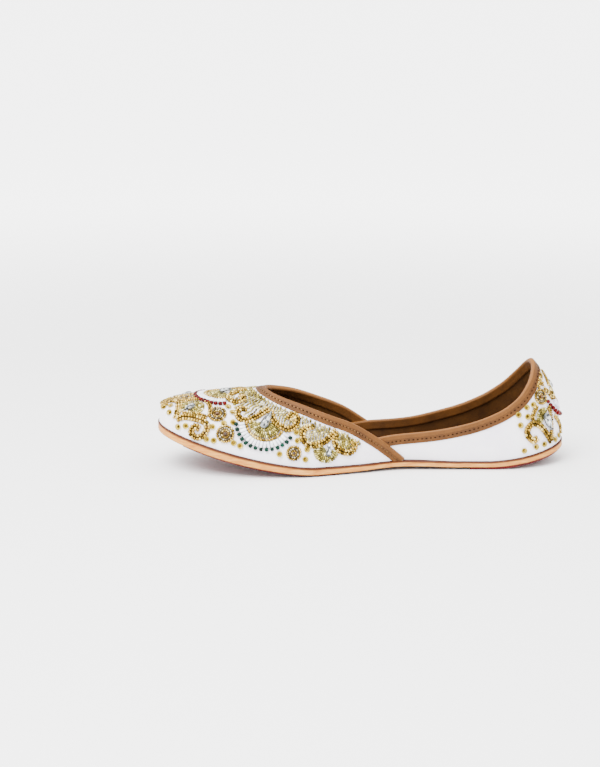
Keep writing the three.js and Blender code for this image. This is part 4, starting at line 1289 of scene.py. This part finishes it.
# a pale room: bright ceiling, dimmer walls, and a bright band where the floor runs out behind the shoe
world = bpy.data.worlds.new("softRoom")
world.use_nodes = True
room = world.node_tree
direction = addNode(room, "ShaderNodeTexCoord").outputs["Generated"]
apart = addNode(room, "ShaderNodeSeparateXYZ", {0: direction}).outputs
behind = addNode(room, "ShaderNodeMapRange", {0: apart[1], 1: 0.2, 2: 0.7, 3: 0.0, 4: 1.0}).outputs[0]
low = addNode(room, "ShaderNodeMapRange", {0: apart[2], 1: 0.05, 2: 0.3, 3: 1.0, 4: 0.0}).outputs[0]
above = addNode(room, "ShaderNodeMapRange", {0: apart[2], 1: 0.3, 2: 0.65, 3: 0.0, 4: 1.0}).outputs[0]
edge = {0: apart[2], 1: 0.01, 2: 0.11, 3: studio["rimGain"], 4: 0.0}
rim = addNode(room, "ShaderNodeMapRange", edge).outputs[0]
band = addNode(room, "ShaderNodeMath", {0: behind, 1: low}, operation="MULTIPLY").outputs[0]
band = addNode(room, "ShaderNodeMath", {0: band, 1: rim}, operation="MAXIMUM").outputs[0]
side = studio["sideStrength"]
lit = {0: band, 1: studio["horizonStrength"] - side, 2: side}
walls = addNode(room, "ShaderNodeMath", lit, operation="MULTIPLY_ADD").outputs[0]
lit = {0: above, 1: studio["ceilingStrength"] - side, 2: walls}
strength = addNode(room, "ShaderNodeMath", lit, operation="MULTIPLY_ADD").outputs[0]
room.links.new(strength, room.nodes["Background"].inputs[1])
room.nodes["Background"].inputs[0].default_value = hexColour("#FFFFFF")
bpy.context.scene.world = world


def softLight(name, place, target, size, power):  # a square soft box that faces its target
    data = bpy.data.lights.new(name, "AREA")
    data.shape, data.size, data.energy = "SQUARE", size, power
    lamp = bpy.data.objects.new(name, data)
    lamp.location = place
    lamp.rotation_euler = (Vector(target) - Vector(place)).to_track_quat("-Z", "Y").to_euler()
    bpy.context.scene.collection.objects.link(lamp)


softLight("keySoftBox", (-0.6, -0.8, 1.3), (0, 0, 0.04), 1.0, studio["keyPower"])

view = {
    "azimuth": -6.48, "elevation": 11.56, "roll": 0.354,  # degrees
    "distance": 1.127, "target": (-0.03884, 0.0, 0.04949), "lens": 86.3,
}
a, e, roll = (math.radians(view[key]) for key in ("azimuth", "elevation", "roll"))
back = Vector((math.sin(a) * math.cos(e), -math.cos(a) * math.cos(e), math.sin(e)))
right = Vector((math.cos(a), math.sin(a), 0))
up = back.cross(right)
right, up = right * math.cos(roll) + up * math.sin(roll), up * math.cos(roll) - right * math.sin(roll)
cameraData = bpy.data.cameras.new("camera")
cameraData.lens, cameraData.sensor_width, cameraData.sensor_fit = view["lens"], 36.0, "AUTO"
cameraData.clip_start, cameraData.clip_end = 0.05, 20.0
camera = bpy.data.objects.new("camera", cameraData)
turn = Matrix((right, up, back)).transposed().to_4x4()
camera.matrix_world = Matrix.Translation(Vector(view["target"]) + back * view["distance"]) @ turn
bpy.context.scene.collection.objects.link(camera)
bpy.context.scene.camera = camera

print("studio ready")
